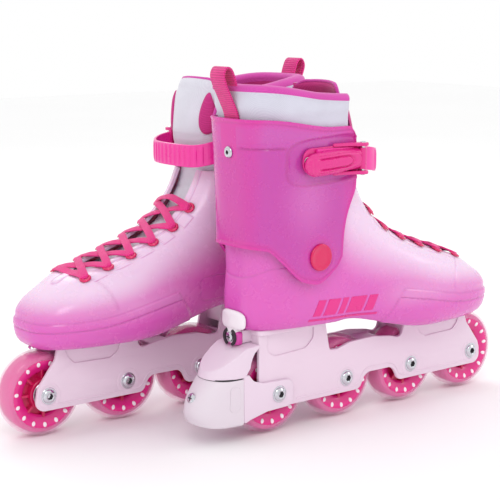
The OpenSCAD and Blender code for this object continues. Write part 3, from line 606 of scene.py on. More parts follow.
def boot_sheet(rows, cols, inset, edge_y, rear, top, low=SOLE_Z):
    """Sheet of the boot between its sole and a rear line, open along the lacing slot."""
    levels = np.linspace(low, top, 120)
    rings = np.array([boot_ring(h, cols, inset, edge_y) for h in levels])
    over = rings[..., 2] > lookup(rings[..., 0], rear)
    first = np.where(over.any(0), over.argmax(0), len(levels)).astype(float) - 1
    pad = np.concatenate([first[:1].repeat(4), first, first[-1:].repeat(4)])
    first = np.convolve(pad, np.ones(9)/9, "valid")
    at = first[None]*np.linspace(0, 1, rows)[:, None]
    k = np.clip(np.floor(at).astype(int), 0, len(levels) - 2)
    f = (at - k)[..., None]
    j = np.arange(cols)[None]
    return rings[k, j]*(1 - f) + rings[k + 1, j]*f


def sole_rows(p, shares):
    """Rows that close a boot sheet below, from its middle line out towards its first row."""
    return p[0]*np.stack([np.ones(len(shares)), shares, np.ones(len(shares))], -1)[:, None]


def normals(p):
    return unit(np.cross(np.gradient(p, axis=1), np.gradient(p, axis=0)))


def nearest(points, targets):
    """Distance of every point to the closest target."""
    flat = points.reshape(-1, 3)
    out = np.full(len(flat), 1e9)
    for t in targets:
        out = np.minimum(out, ((flat - t)**2).sum(1))
    return np.sqrt(out).reshape(points.shape[:-1])


def eyelet(i, s):
    """Place and outward direction of an eyelet on the shell."""
    h = EYELET_LEVELS[i]
    a = s*math.asin((EYELET_Y/lookup(h, BALL_HALF))**(BLUNT/2))
    step = math.radians(4)
    n = unit(np.cross(boot_point(a + step, h) - boot_point(a - step, h),
                      boot_point(a, h + 3) - boot_point(a, h - 3)))
    return boot_point(a, h), (n if n[2] > 0 else -n)


def shell(side):
    p = boot_sheet(170, 420, 0, SLOT_HALF, SHELL_REAR, SHELL_TOP)
    x, y, z = p[..., 0], p[..., 1], p[..., 2]
    n = normals(p)
    edge = nearest(p, np.vstack([p[60::2, 0], p[60::2, -1]]))
    # lift raises and sinks the surface; line is painted shade that darkens the colour along the grooves and
    # steps that lift makes
    lift = 0.9*smooth((5.4 - edge)/1.2)*smooth((z - 124)/6)
    line = 0.5*ridge(edge - 5.9, 0.8)*smooth((z - 124)/6)
    # bumper round the toe: a raised band over a groove, ending in a slanting line
    upper = lookup(x, ((-10, 121), (30, 114), (80, 105), (140, 102)))
    lower = upper - lookup(x, ((-10, 8.5), (80, 8), (140, 7)))
    start = x - (z - 90)*0.65 + 16
    front = smooth(start/2)
    lift += 1.1*smooth((upper - z)/1.4)*front - 0.8*ridge(z - lower, 1.3)*front
    line += 0.45*ridge(z - upper, 1.2)*front + 0.9*ridge(z - lower, 1.1)*front
    line += 0.7*ridge(start, 1.2)*smooth((112 - z)/3)
    # toe cap: a low ridge that bows back over the toes
    cap = x - 92 + 0.012*y**2
    lift += 0.5*smooth(cap/1.6)*smooth((z - upper - 2)/3)
    line += 0.3*ridge(cap, 1.2)*smooth((z - upper - 2)/3)
    # rounded panel low at the middle of the foot and a seam up the heel
    panel = np.hypot(np.maximum(np.abs(x + 52) - 22, 0), np.maximum(np.abs(z - 116) - 4, 0)) - 7
    inner = smooth((y - 10)/8)
    lift -= 0.5*ridge(panel, 1.1)*inner
    line += 0.6*ridge(panel, 1.0)*inner
    heel = np.hypot(x + 126, (z - 96)*0.8) - 44
    back = smooth((-100 - x)/6)
    lift -= 0.35*ridge(heel, 1.2)*back
    line += 0.45*ridge(heel, 1.1)*back
    # low tabs between the eyelets
    for s in (-1, 1):
        for i in range(EYELETS - 1):
            (a, na), (b, nb) = eyelet(i, s), eyelet(i + 1, s)
            run, up = unit(b - a), unit(na + nb)
            away = unit(np.cross(run, up))*s
            q = p - (a + b)/2 - away*3.0
            tab = np.maximum(np.abs(q @ run) - 0.27*np.linalg.norm(b - a), np.abs(q @ away) - 5.2)
            near = np.abs(q @ up) < 9
            lift += np.where(near, 0.3*smooth(-tab/0.9 + 0.5), 0)
            line += np.where(near, 0.6*ridge(tab, 0.7), 0)
    p = p + n*lift[..., None]
    pale_low = lookup(x, ((-90, 160), (-50, 126), (0, 112), (60, 104), (135, 102)))
    pale_high = lookup(x, ((-90, 235), (-50, 188), (0, 160), (60, 134), (135, 124)))
    pale = smooth((z - pale_low)/(pale_high - pale_low))*smooth((x + 112)/50)
    pale = np.maximum(pale, 0.3*smooth((x + 40)/60)*smooth((z - 96)/20))
    hot = 0.5*smooth((-100 - x)/40)*smooth((150 - z)/30)
    under = sole_rows(p, [0.0, 0.2, 0.4, 0.6, 0.8, 0.93])
    grow = lambda v: np.concatenate([np.repeat(v[:1], len(under), 0), v])
    shape = Shape()
    shape.grid(np.concatenate([under, p]), pale=grow(pale), hot=grow(hot), line=grow(np.clip(line, 0, 1)))
    obj = shape.build(f"{side}_moulded_shell", side, ["shell"], weld=0.1, sharp=55, thick=SHELL_T, bevel=0.5)
    put(obj, f"{side}_boot", "shell_plastic", f"{side}_shell")


def side_marks(side):
    """Plain slanted bars, underlined, low on the outer side."""
    shape = Shape()
    bars = [(-96, 8, 104, 118), (-85, 13, 104, 118), (-69, 6, 104, 118), (-60, 17, 104, 118),
            (-40, 9, 104, 118), (-98, 74, 99.6, 101.6)]
    for left, width, low, high in bars:
        t, u = np.meshgrid(np.linspace(0, 1, 9), np.linspace(0, 1, 14), indexing="ij")
        z = mix(low, high, t)
        x = left + width*u + 0.4*(z - 104)
        z = z - 0.03*(x + 60)
        front = np.stack([x, -side_y(x, z) - 0.3, z], -1)
        back = np.stack([x, -side_y(x, z) + 0.4, z], -1)
        shape.grid(front[:, ::-1])
        shape.grid(back)
        for a, b in ((front[0], back[0]), (back[-1], front[-1]), (back[:, 0], front[:, 0]),
                     (front[:, -1], back[:, -1])):
            shape.grid(np.stack([a, b]))
    obj = shape.build(f"{side}_side_bars", side, ["mark"])
    put(obj, f"{side}_boot", "strap_plastic")


def eyelets(side):
    shape = Shape()
    ring = [(5.2, 0.15), (5.25, 0.7), (4.9, 1.25), (4.2, 1.6), (3.3, 1.55), (2.7, 1.1), (2.45, 0.3),
            (2.45, -2.4), (3.0, -2.4), (3.0, 0.1)]
    for s in (-1, 1):
        for i in range(EYELETS):
            at, n = eyelet(i, s)
            shape.lathe(ring, at + n*0.75, n, 32, closed=True)
    put(shape.build(f"{side}_eyelet_rings", side, ["eyelet"], sharp=50), f"{side}_boot", "eyelet_metal",
        f"{side}_eyelets")


def lace_run(shape, a, b, rise):
    """Flat lace out of eyelet a, over the tongue and down into eyelet b."""
    (pa, na), (pb, nb) = a, b
    across = unit(pb - pa)
    middle = (pa + pb)/2 + np.array([0.45, 0, 0.9])*rise
    points = [pa - na*2.0, pa + na*1.6, pa + na*3.3 + across*3.0, mix(pa, middle, 0.52) + na*2.6,
              middle, mix(pb, middle, 0.52) + nb*2.6, pb + nb*3.3 - across*3.0, pb + nb*1.6,
              pb - nb*2.0]
    path = spline(points, 46)
    t = np.linspace(0, 1, len(path))[:, None]
    over = unit(np.array([0.45, 0, 0.9]))
    up = unit(na*smooth(1 - t*3.2) + nb*smooth(t*3.2 - 2.2) + over*0.7*smooth(1 - np.abs(t - 0.5)*2.2) + 1e-6)
    d = unit(np.gradient(path, axis=0))
    bad = np.abs((up*d).sum(1, keepdims=True)) > 0.9
    up = np.where(bad, unit(across*np.where(t < 0.5, -1, 1)), up)
    pinch = smooth(np.minimum(t, 1 - t)*9)
    scale = np.concatenate([mix(0.42, 1, pinch), mix(1.5, 1, pinch)], 1)
    shape.sweep(path, band(3.5, 0.7), up, scale=scale)


def laces(side):
    shape = Shape()
    lace_run(shape, eyelet(0, -1), eyelet(0, 1), 3.0)
    lace_run(shape, eyelet(EYELETS - 1, -1), eyelet(EYELETS - 1, 1), 9.0)
    for i in range(EYELETS - 1):
        lace_run(shape, eyelet(i, -1), eyelet(i + 1, 1), 4.2)
        lace_run(shape, eyelet(i, 1), eyelet(i + 1, -1), 6.2)
    put(shape.build(f"{side}_flat_laces", side, ["lace"], sharp=60), f"{side}_boot", "lace_cloth",
        f"{side}_laces")


# ------------------------------------------------------------------ soft inner boot
def foot_pad(side):
    x = np.linspace(-151, -62, 12)
    arc = [(v, PIVOT[1] + math.sqrt(max(1.0, (SPLIT_R - 1)**2 - (v - PIVOT[0])**2))) for v in x]
    p = boot_sheet(60, 200, SHELL_T + 0.7, 33, ((-170, 157), *arc, (-50, 196), (20, 205), (160, 205)), 205,
                   SOLE_Z + 4.6)
    wave = 0.25*np.sin(p[..., 0]*0.35)*smooth((p[..., 2] - 140)/20)
    p = p - normals(p)*(0.3 - wave[..., None]*0.5)
    shape = Shape()
    shape.grid(np.concatenate([sole_rows(p, [0.0, 0.25, 0.5, 0.75, 0.92]), p]))
    obj = shape.build(f"{side}_inner_boot", side, ["liner"], weld=0.15, sharp=60, thick=3.4, bevel=1.1)
    put(obj, f"{side}_boot", "liner_cloth", f"{side}_foot_liner")


def footbed(side):
    ring = boot_point(np.linspace(0, 2*np.pi, 160, endpoint=False), SOLE_Z + 10, 8.2)
    rows = []
    for k, lift in ((0.0, 0.2), (0.5, 0.1), (0.85, 0.9), (0.97, 1.6), (1.0, 1.0), (1.0, -1.8), (0.9, -2.3),
                    (0.0, -2.3)):
        rows.append(ring*[1, k, 1] + [0, 0, lift + 1.4])
    shape = Shape()
    shape.grid(np.array(rows)[::-1], wrap=True)
    obj = shape.build(f"{side}_insole", side, ["footbed"], weld=0.1, sharp=60)
    put(obj, f"{side}_boot", "footbed_foam", f"{side}_footbed")


def tongue_frame(side, count):
    """Middle line, its direction and its share; the right tongue leans back further, against the leg."""
    line = spline(TONGUE_LINE, count)
    line[:, 0] -= TONGUE_LEAN[side]*smooth((line[:, 1] - 226)/74)
    d = unit(np.gradient(line, axis=0))
    t = np.linspace(0, 1, count)
    return line, d, t


def tongue_point(line, d, t, c, depth):
    """Point across the tongue at c from -1 to 1, sunk by a depth."""
    half = TONGUE_HALF*mix(0.6, 1, smooth(t/0.38))*(1 - 0.08*smooth((t - 0.9)/0.1))
    sag = depth + TONGUE_ROLL*np.abs(c)**2.4*mix(0.35, 1, smooth(t/0.45))*mix(1, 0.75, smooth((t - 0.8)/0.2))
    return np.stack([line[..., 0] - d[..., 1]*sag, half*c, line[..., 1] + d[..., 0]*sag], -1)


def at_rows(row, table):
    """Values of a table at fractional rows, with row from 0 to 1."""
    k = row*(len(table) - 1)
    return np.stack([np.interp(k, np.arange(len(table)), table[:, q]) for q in range(table.shape[1])], -1)


def tongue(side):
    count = 110
    line, d, t = tongue_frame(side, count)
    c = np.linspace(-1, 1, 45)
    tt = t[:, None]
    # sewn channels across, and a seam along each edge
    seams = sum(ridge(tt - v, 0.008) for v in (0.56, 0.63, 0.70, 0.77))*smooth((0.78 - np.abs(c))/0.05)
    border = ridge(np.abs(c) - 0.82, 0.05)*smooth((tt - 0.42)/0.05)
    top_seam = ridge(tt - 0.955, 0.008)*smooth((0.84 - np.abs(c))/0.04)
    puff = 1.6*(1 - np.abs(c)**4)*smooth((1 - tt)/0.03) - 1.3*seams - 1.2*border - 0.9*top_seam
    ends = np.sqrt(np.clip(1 - np.clip((tt - 0.985)/0.015, 0, 1)**2, 0.02, 1))
    thick = 6.4*np.sqrt(np.clip(1 - np.abs(c)**7, 0.0, 1))*ends + 0.15
    mid = 2.6
    args = (line[:, None], d[:, None], tt)
    outer = tongue_point(*args, c[None], mid - thick/2 - puff*0.5*(thick > 2))
    inner = tongue_point(*args, c[None], mid + thick/2)
    loop = np.concatenate([outer, inner[:, ::-1][:, 1:-1]], 1)
    mats = np.zeros(loop.shape[:2], int)
    mats[:, len(c) - 1:] = 1
    shape = Shape()
    shape.grid(loop[:, ::-1], wrap=True, caps=True, mat=mats[:, ::-1])
    up_rows = slice(int(count*0.42), count)
    left = tongue_point(line[up_rows], d[up_rows], t[up_rows], -1.0, mid)
    right = tongue_point(line[up_rows], d[up_rows], t[up_rows], 1.0, mid)
    top = tongue_point(line[-1], d[-1], t[-1], np.linspace(-1, 1, 30), mid)
    path = spline(np.vstack([left[:-2:5], top[1:-1:4], right[-3::-1][::5]]), 150)
    shape.sweep(path, disc(1.5), [0.3, 0.05, 1.0], mat=2)
    # drop-shaped pads beside the upper edge
    for s in (-1, 1):
        u, v = np.meshgrid(np.linspace(0, 1, 20), np.linspace(0, 2*np.pi, 36, endpoint=False), indexing="ij")
        row = 0.865 + 0.085*u*np.cos(v)
        wide = 0.2*u*np.sin(v)*(1 - 0.35*np.cos(v))
        dome = 2.6*np.sqrt(np.clip(1 - u**3, 0, 1))
        pad = tongue_point(at_rows(row, line), at_rows(row, d), row, s*(0.86 + wide), -1.2 - dome)
        shape.grid(pad if s > 0 else pad[:, ::-1], wrap=True, mat=1)
    obj = shape.build(f"{side}_padded_tongue", side, ["tongue", "lining", "rim"], weld=0.05, sharp=60)
    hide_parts(f"{side}_tongue")
    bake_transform(obj)
    # slanted bars on the tongue's white face
    shape = Shape()
    for c0, width in ((-0.42, 0.16), (-0.20, 0.26), (0.12, 0.16), (0.34, 0.1)):
        r, w = np.meshgrid(np.linspace(0, 1, 6), np.linspace(0, 1, 6), indexing="ij")
        row = 0.862 + 0.028*r
        cc = c0 + width*w + 0.08*r
        lift = -0.6 - 0.8*(1 - np.abs(cc)**4)
        shape.grid(tongue_point(at_rows(row, line), at_rows(row, d), row, cc, lift))
    mark = shape.build(f"{side}_tongue_bars", side, ["mark"], thick=0.4)
    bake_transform(mark)


def cuff_plan(side_share, back, front, w):
    """Plan of half a cuff: round the heel up to BACK_SHARE, then straight to its front edge."""
    a = np.pi/2*side_share/BACK_SHARE
    t = (side_share - BACK_SHARE)/(1 - BACK_SHARE)
    curved = side_share < BACK_SHARE
    a = np.clip(a, 0, np.pi/2)
    x = np.where(curved, MID_X - (MID_X - back)*power(np.cos(a), 2/BLUNT), mix(MID_X, front, t))
    y = np.where(curved, w*power(np.sin(a), 2/BLUNT), w)
    return x, y


def even_u(w, back, front, count):
    """Positions round a U-shaped plan that are evenly spaced along it."""
    u = np.linspace(-1, 1, 2001)
    x, y = cuff_plan(np.abs(u), back, front, w)
    y = np.where(u < 0, -y, y)
    s = np.concatenate([[0], np.cumsum(np.hypot(np.diff(x), np.diff(y)))])
    return np.interp(np.linspace(0, s[-1], count), s, u)


def ankle_pad(side):
    u = even_u(40, -152, -60, 150)
    share = np.abs(u)
    ends = np.sqrt(np.clip(1 - np.clip((share - 0.94)/0.06, 0, 1)**2, 0.0, 1))

    def point(z, depth):
        """depth 0 is the outer face, 1 the inner one."""
        thick = smooth((z - ANKLE_THIN_Z)/6)
        full = np.minimum(lookup(z, CUFF_HALF) - CUFF_T, 43) - 0.5
        out_w = mix(ANKLE_THIN_Y, full, thick) + 1.4*smooth((z - 274)/8)
        back = lookup(z, ANKLE_BACK) - 2.0*smooth((z - 278)/8)
        share_in = 0.5 + (depth - 0.5)*ends
        w = mix(out_w, ANKLE_IN_Y, share_in)
        b = mix(back, back + 8.5, share_in)
        front = np.where(u > 0, lookup(z, ANKLE_FLAP), lookup(z, ANKLE_FRONT))
        x, y = cuff_plan(share, b, front, w)
        return np.stack([x, np.where(u < 0, -y, y), z], -1)

    x_at = cuff_plan(share, -150, -78, 40)[0]
    low_out = PIVOT[1] + np.sqrt(np.maximum(0, (SPLIT_R + 1.5)**2 - (x_at - PIVOT[0])**2))
    x_in = cuff_plan(share, -137, -78, 34)[0]
    low_in = PIVOT[1] + np.sqrt(np.maximum(0, (SPLIT_R + 1.5)**2 - (x_in - PIVOT[0])**2))
    top = mix(*ANKLE_TOPS, smooth((x_at + 150)/80)) - 3.0
    rows, mats = [], []
    for k in np.linspace(0, 1, 34):
        z = mix(low_out, top - 7, k)
        rows.append(point(z, 0.0))
        mats.append(0)
    roll = 4.6
    for k in np.linspace(0, 1, 15):
        turn = np.pi*(k*1.15 - 0.1)
        z = top - 3.2 + roll*np.sin(turn)
        rows.append(point(z, 0.5 - 0.62*np.cos(turn)))
        mats.append(1)
    for k in np.linspace(1, 0, 30):
        z = mix(low_in, top - 7, k)
        rows.append(point(z, 1.0))
        mats.append(2)
    p = np.array(rows)
    shape = Shape()
    shape.grid(p, loop=True, mat=np.repeat(np.array(mats)[:, None], p.shape[1], 1))
    # piping down both front edges
    for s, col in ((-1, 0), (1, -1)):
        z = np.linspace(low_out[col] + 6, top[col] - 4, 30)
        y = mix(mix(ANKLE_THIN_Y, 41.5, smooth((z - ANKLE_THIN_Z)/6)), ANKLE_IN_Y, 0.5)
        x = lookup(z, ANKLE_FLAP if s > 0 else ANKLE_FRONT) + 0.3
        shape.sweep(np.stack([x, s*y, z], -1), disc(1.5), [1, 0, 0], mat=1)
    obj = shape.build(f"{side}_ankle_collar", side, ["liner", "rim", "lining"], weld=0.05, sharp=60)
    put(obj, f"{side}_cuff", "liner_cloth", f"{side}_ankle_liner")


# ------------------------------------------------------------------ cuff
def cuff(side):
    u = even_u(45, -157, -58, 230)
    share = np.abs(u)
    x_low = cuff_plan(share, -155, -69, 44)[0]
    low = lookup(x_low, CUFF_LOW)
    x_top = cuff_plan(share, -159, -58, 46)[0]
    top = mix(*CUFF_TOPS, smooth((x_top + 150)/70))
    # rounded upper front corners
    top = top - 9*smooth((share - 0.93)/0.07)**2
    rows = 110
    t = np.linspace(0, 1, rows)[:, None]
    z = mix(low, top, t)
    front = np.where(u[None] > 0, lookup(z, CUFF_FLAP), lookup(z, CUFF_FRONT))
    x, y = cuff_plan(share[None], lookup(z, CUFF_BACK), front, lookup(z, CUFF_HALF))
    y = np.where(u < 0, -y, y)
    p = np.stack([x, y, z], -1)
    n = normals(p)
    outward = np.sign(n[rows//2, 60, 1]*p[rows//2, 60, 1])
    n = n*outward
    # buckle seat on the outer side, and a crease that runs into it from the back
    dx, dz = (x + 90)/40, (z - 240 - 0.06*(x + 90))/19
    seat = np.sqrt(np.sqrt(dx**4 + dz**4))
    on_right = smooth((-y - 30)/6)
    lift = -0.9*smooth((1.0 - seat)/0.08)*on_right + 0.7*ridge(seat - 1.1, 0.09)*on_right
    crease = ridge(z - 251 - 0.02*(x + 150), 1.6)*smooth((-128 - x)/6)*smooth((-y - 8)/10)
    lift = lift - 0.8*crease
    lift = lift + 0.5*ridge(z - 253.5 - 0.02*(x + 150), 2.2)*smooth((-128 - x)/6)*smooth((-y - 8)/10)
    # lip along all edges
    e_low, e_top = z - low, top - z
    e_front = (1 - share)[None]*150
    near = np.minimum(np.minimum(e_low, e_top), e_front)
    lift = lift + 0.45*smooth((3.2 - near)/1.0)
    # dished rim round the pivot
    r = np.hypot(x - PIVOT[0], z - PIVOT[1])
    lift = lift + 0.4*ridge(r - 15.2, 1.6)
    p = p + n*lift[..., None]
    hot = 0.75*smooth((9 - near)/9) + 0.35*smooth((24 - r)/12) + 0.45*smooth((x + 76)/14)*smooth((z - 170)/25)
    hot = hot + 0.55*smooth((-146 - x)/10)
    strip = smooth((11 - np.abs(y))/2)*smooth((-140 - x)/5)*smooth((z - 240)/4)
    hot = np.clip(hot + strip, 0, 1)
    # line is painted shade: darker colour in the crease, just inside the edge lip and round the buckle seat
    line = 0.7*crease + 0.5*ridge(near - 3.4, 0.9) + 0.5*ridge(seat - 1.02, 0.06)*on_right
    pale = np.clip(smooth(1 - np.hypot((x + 108)/34, (z - 208)/44)) + 0.6*smooth((z - 246)/14), 0, 1)
    turn = slice(None, None, 1 if outward > 0 else -1)
    shape = Shape()
    shape.grid(p[:, turn], pale=pale[:, turn], hot=hot[:, turn], line=line[:, turn])
    obj = shape.build(f"{side}_moulded_cuff", side, ["cuff"], sharp=50, thick=CUFF_T, bevel=0.5)
    put(obj, f"{side}_cuff", "cuff_plastic", f"{side}_cuff")


def strap_line(offset, count):
    """Middle line of the strap, a distance outside the cuff and tongue that it lies on."""
    u = np.linspace(-1, 1, 1601)
    share = np.abs(u)
    wall = STRAP_Y + np.where(u < 0, 1.9, 0) + offset
    end = np.where(u < 0, STRAP_ENDS[1], STRAP_ENDS[0])
    a = np.clip(np.pi/2*share/0.6, 0, np.pi/2)
    curved = share < 0.6
    t = (share - 0.6)/0.4
    corner = np.where(u < 0, *STRAP_CORNERS)
    x = np.where(curved, corner + (STRAP_FRONT + offset - corner)*power(np.cos(a), 2/2.3),
                 mix(corner, end, t))
    y = np.where(curved, wall*power(np.sin(a), 2/2.3), wall)
    z = mix(STRAP_Z[0], STRAP_Z[1], smooth((share - 0.2)/0.5))
    return even(np.stack([x, np.where(u < 0, -y, y), z], -1), count)


def strap(side):
    count = 420
    path = strap_line(1.0, count)
    s = np.linspace(0, 1, count)
    out = unit(np.cross(np.gradient(path, axis=0), [0, 0, 1]))
    out = out*np.sign(out[count//2, 0])
    v = np.array([-10, -9.6, -8.6, -7.8, -4, 0, 4, 7.8, 8.6, 9.6, 10])
    ribs = smooth(np.sin(s*2*np.pi*34)*1.6 + 0.3)*smooth((s - 0.30)/0.01)*smooth((0.74 - s)/0.01)
    flat = smooth((8.4 - np.abs(v))/0.9)
    edge = np.where(np.abs(v) > 9.8, 0.35, 0)
    across = v[None, :, None]*np.array([0, 0, 1])
    outer = path[:, None] + out[:, None]*(1.0 - edge + 0.9*ribs[:, None]*flat)[..., None] + across
    outer = outer + out[:, None]*(0.35*smooth((np.abs(v) - 8.2)/0.5)*(np.abs(v) < 9.8))[None, :, None]
    inner = path[:, None] - out[:, None]*(1.0 - edge)[None, :, None] + across
    shape = Shape()
    shape.grid(np.concatenate([outer, inner[:, ::-1]], 1), wrap=True, caps=True)
    put(shape.build(f"{side}_ribbed_strap", side, ["strap"], sharp=45), f"{side}_cuff", "strap_plastic",
        f"{side}_strap")


def buckle_base(side):
    shape = Shape()
    shape.plate([rounded([(-117, 229.5, 9), (-64, 228, 3), (-64, 252, 3), (-117, 250.5, 9)])], -47.6, -45.9,
                0.5)
    for low in (226.6, 250.4):
        shape.plate([rounded([(-86, -47, 1), (-66, -46.8, 1), (-61, -46.6, 1), (-52.4, -49, 3),
                              (-52.4, -58.2, 4), (-60.5, -58.2, 4), (-68, -52.4, 8), (-84, -49.6, 3)])],
                              low, low + 3, 0.9, "xy")
    # nose in front of the lever, over the strap
    shape.plate([rounded([(-57, -47.4, 0.6), (-53, -46.6, 0.6), (-52.4, -50.4, 1), (-56.4, -50.4, 0.8)])],
                228.2, 251.8, 0.5, "xy")
    pin = np.array([[HINGE[0], HINGE[1], z] for z in np.linspace(226, 254, 8)])
    shape.sweep(pin, disc(1.5, 16), [1, 0, 0], mat=1)
    for z in (226.3, 253.7):
        shape.lathe([(0.01, 0.7), (1.6, 0.6), (2.3, 0.2), (2.4, -0.3), (0.01, -0.3)], (HINGE[0], HINGE[1], z),
                    (0, 0, 1 if z > 240 else -1), 24, mat=1)
    put(shape.build(f"{side}_buckle_frame", side, ["buckle", "steel"], sharp=35), f"{side}_cuff",
        "buckle_plastic", f"{side}_buckle_base")


def lever(side):
    """Closing lever: a rounded bar with two grooves that meet round a raised tongue."""
    back, front, half = -118.0, -58.2, 9.6
    t, v = np.meshgrid(np.linspace(0, 1, 90), np.linspace(-1, 1, 61), indexing="ij")
    x = mix(back, front, t)
    end = np.sqrt(np.clip(1 - np.clip((back + half + 1 - x)/(half + 1), 0, 1)**2, 0.0, 1))
    nose = np.sqrt(np.clip(1 - np.clip((x - front + 3)/3, 0, 1)**2*0.35, 0, 1))
    width = half*np.maximum(end, 0.02)*nose*(0.97 + 0.1*np.sin(np.pi*np.clip((x + 112)/40, 0, 1)))
    w = v*width
    crown = 5.6*(1 - np.abs(v)**5)*mix(0.55, 1.0, smooth((x - back)/26))*mix(1, 0.86, smooth((x + 66)/10))
    core = np.hypot(np.maximum(x + 78, 0)/2.2, w)
    groove = ridge(core - 4.4, 1.15)*smooth((x + 108)/6)
    second = ridge(np.hypot(np.maximum(x + 72, 0)/2.0, w) - 6.9, 0.7)*smooth((x + 110)/6)
    crown = crown - 1.5*groove - 0.6*second + 0.5*smooth((3.9 - core)/0.8)*smooth((x + 104)/8)
    crown = crown*np.sqrt(np.clip(end, 0, 1))
    grip = 0.5*smooth(np.sin((x + 118)*1.5))*smooth((-108 - x)/2)*smooth((6.5 - np.abs(w))/1.5)
    out = -50.6 - crown - grip
    z = 240.3 + w
    zt = 240 + (z - 240)*math.cos(LEVER_TILT) + (x - HINGE[0])*math.sin(LEVER_TILT)
    xt = HINGE[0] + (x - HINGE[0])*math.cos(LEVER_TILT) - (z - 240)*math.sin(LEVER_TILT)
    top = np.stack([xt, out, zt], -1)
    under = np.stack([xt, np.full_like(out, -50.4), zt], -1)
    shape = Shape()
    shape.grid(top)
    shape.grid(under[:, ::-1])
    for a, b in ((top[0], under[0]), (top[-1], under[-1]), (top[:, 0], under[:, 0]),
                 (top[:, -1], under[:, -1])):
        shape.grid(np.stack([a, b]))
    knuckle = np.array([[HINGE[0], HINGE[1], z] for z in np.linspace(231, 249, 6)])
    shape.sweep(knuckle, disc(3.0, 24), [1, 0, 0])
    put(shape.build(f"{side}_ratchet_lever", side, ["buckle"], weld=0.04, sharp=42), f"{side}_lever",
        "buckle_plastic", f"{side}_buckle_lever")


def pull_loop(side):
    line = spline(LOOP_LINE, 90)
    path = np.insert(line, 1, 0, axis=1)
    shape = Shape()
    shape.sweep(path, band(9.6, 0.8, 0.5), np.cross(unit(np.gradient(path, axis=0)), [0, 1, 0]))
    put(shape.build(f"{side}_webbing_loop", side, ["webbing"], sharp=60), f"{side}_cuff", "webbing",
        f"{side}_pull_loop")


# ------------------------------------------------------------------ fasteners
def hexagon(r):
    """Radius of a hexagon's edge at each angle."""
    return lambda a: r*math.cos(math.pi/6)/np.cos((a % (math.pi/3)) - math.pi/6)


def bolt_head(shape, at, axis, r=6.2, t=2.6, socket=2.7):
    dome = [(r*0.97, -0.2), (r, 0.25), (r*0.985, t*0.3), (r*0.93, t*0.55), (r*0.82, t*0.78), (r*0.68, t*0.92),
            (socket*1.45, t), (socket*1.16, t*0.97)]
    pit = [(hexagon(socket*1.12), t*0.9), (hexagon(socket), t*0.8), (hexagon(socket), -0.1)]
    shape.lathe(dome + pit[:1], at, axis, 72)
    # the socket takes the second, dark material: painted shade in its hollow
    shape.lathe(pit + [(0.01, -0.2)], at, axis, 72, 1)


def cross_head(shape, at, axis, r, t):
    dome = [(r*0.97, -0.2), (r, 0.2), (r*0.9, t*0.6), (r*0.66, t*0.92), (r*0.35, t), (0.01, t)]
    shape.lathe(dome, at, axis, 40)
    axis = unit(axis)
    e1 = unit(np.cross(axis, [0.3, 0, 1]))
    # the cross slots take the second, dark material: painted shade in them
    for e in (e1, np.cross(axis, e1)):
        path = np.array([np.asarray(at) + axis*(t*0.985) + e*k*r*0.52 for k in np.linspace(-1, 1, 7)])
        shape.sweep(path, box(-0.55, -0.3, 0.55, 0.12, 0.1, 2), axis, mat=1)


def rod(shape, a, b, r):
    shape.sweep(np.linspace(a, b, 5), disc(r, 24), [0.1, 0.2, 1] if abs(a[2] - b[2]) < 1 else [1, 0, 0])


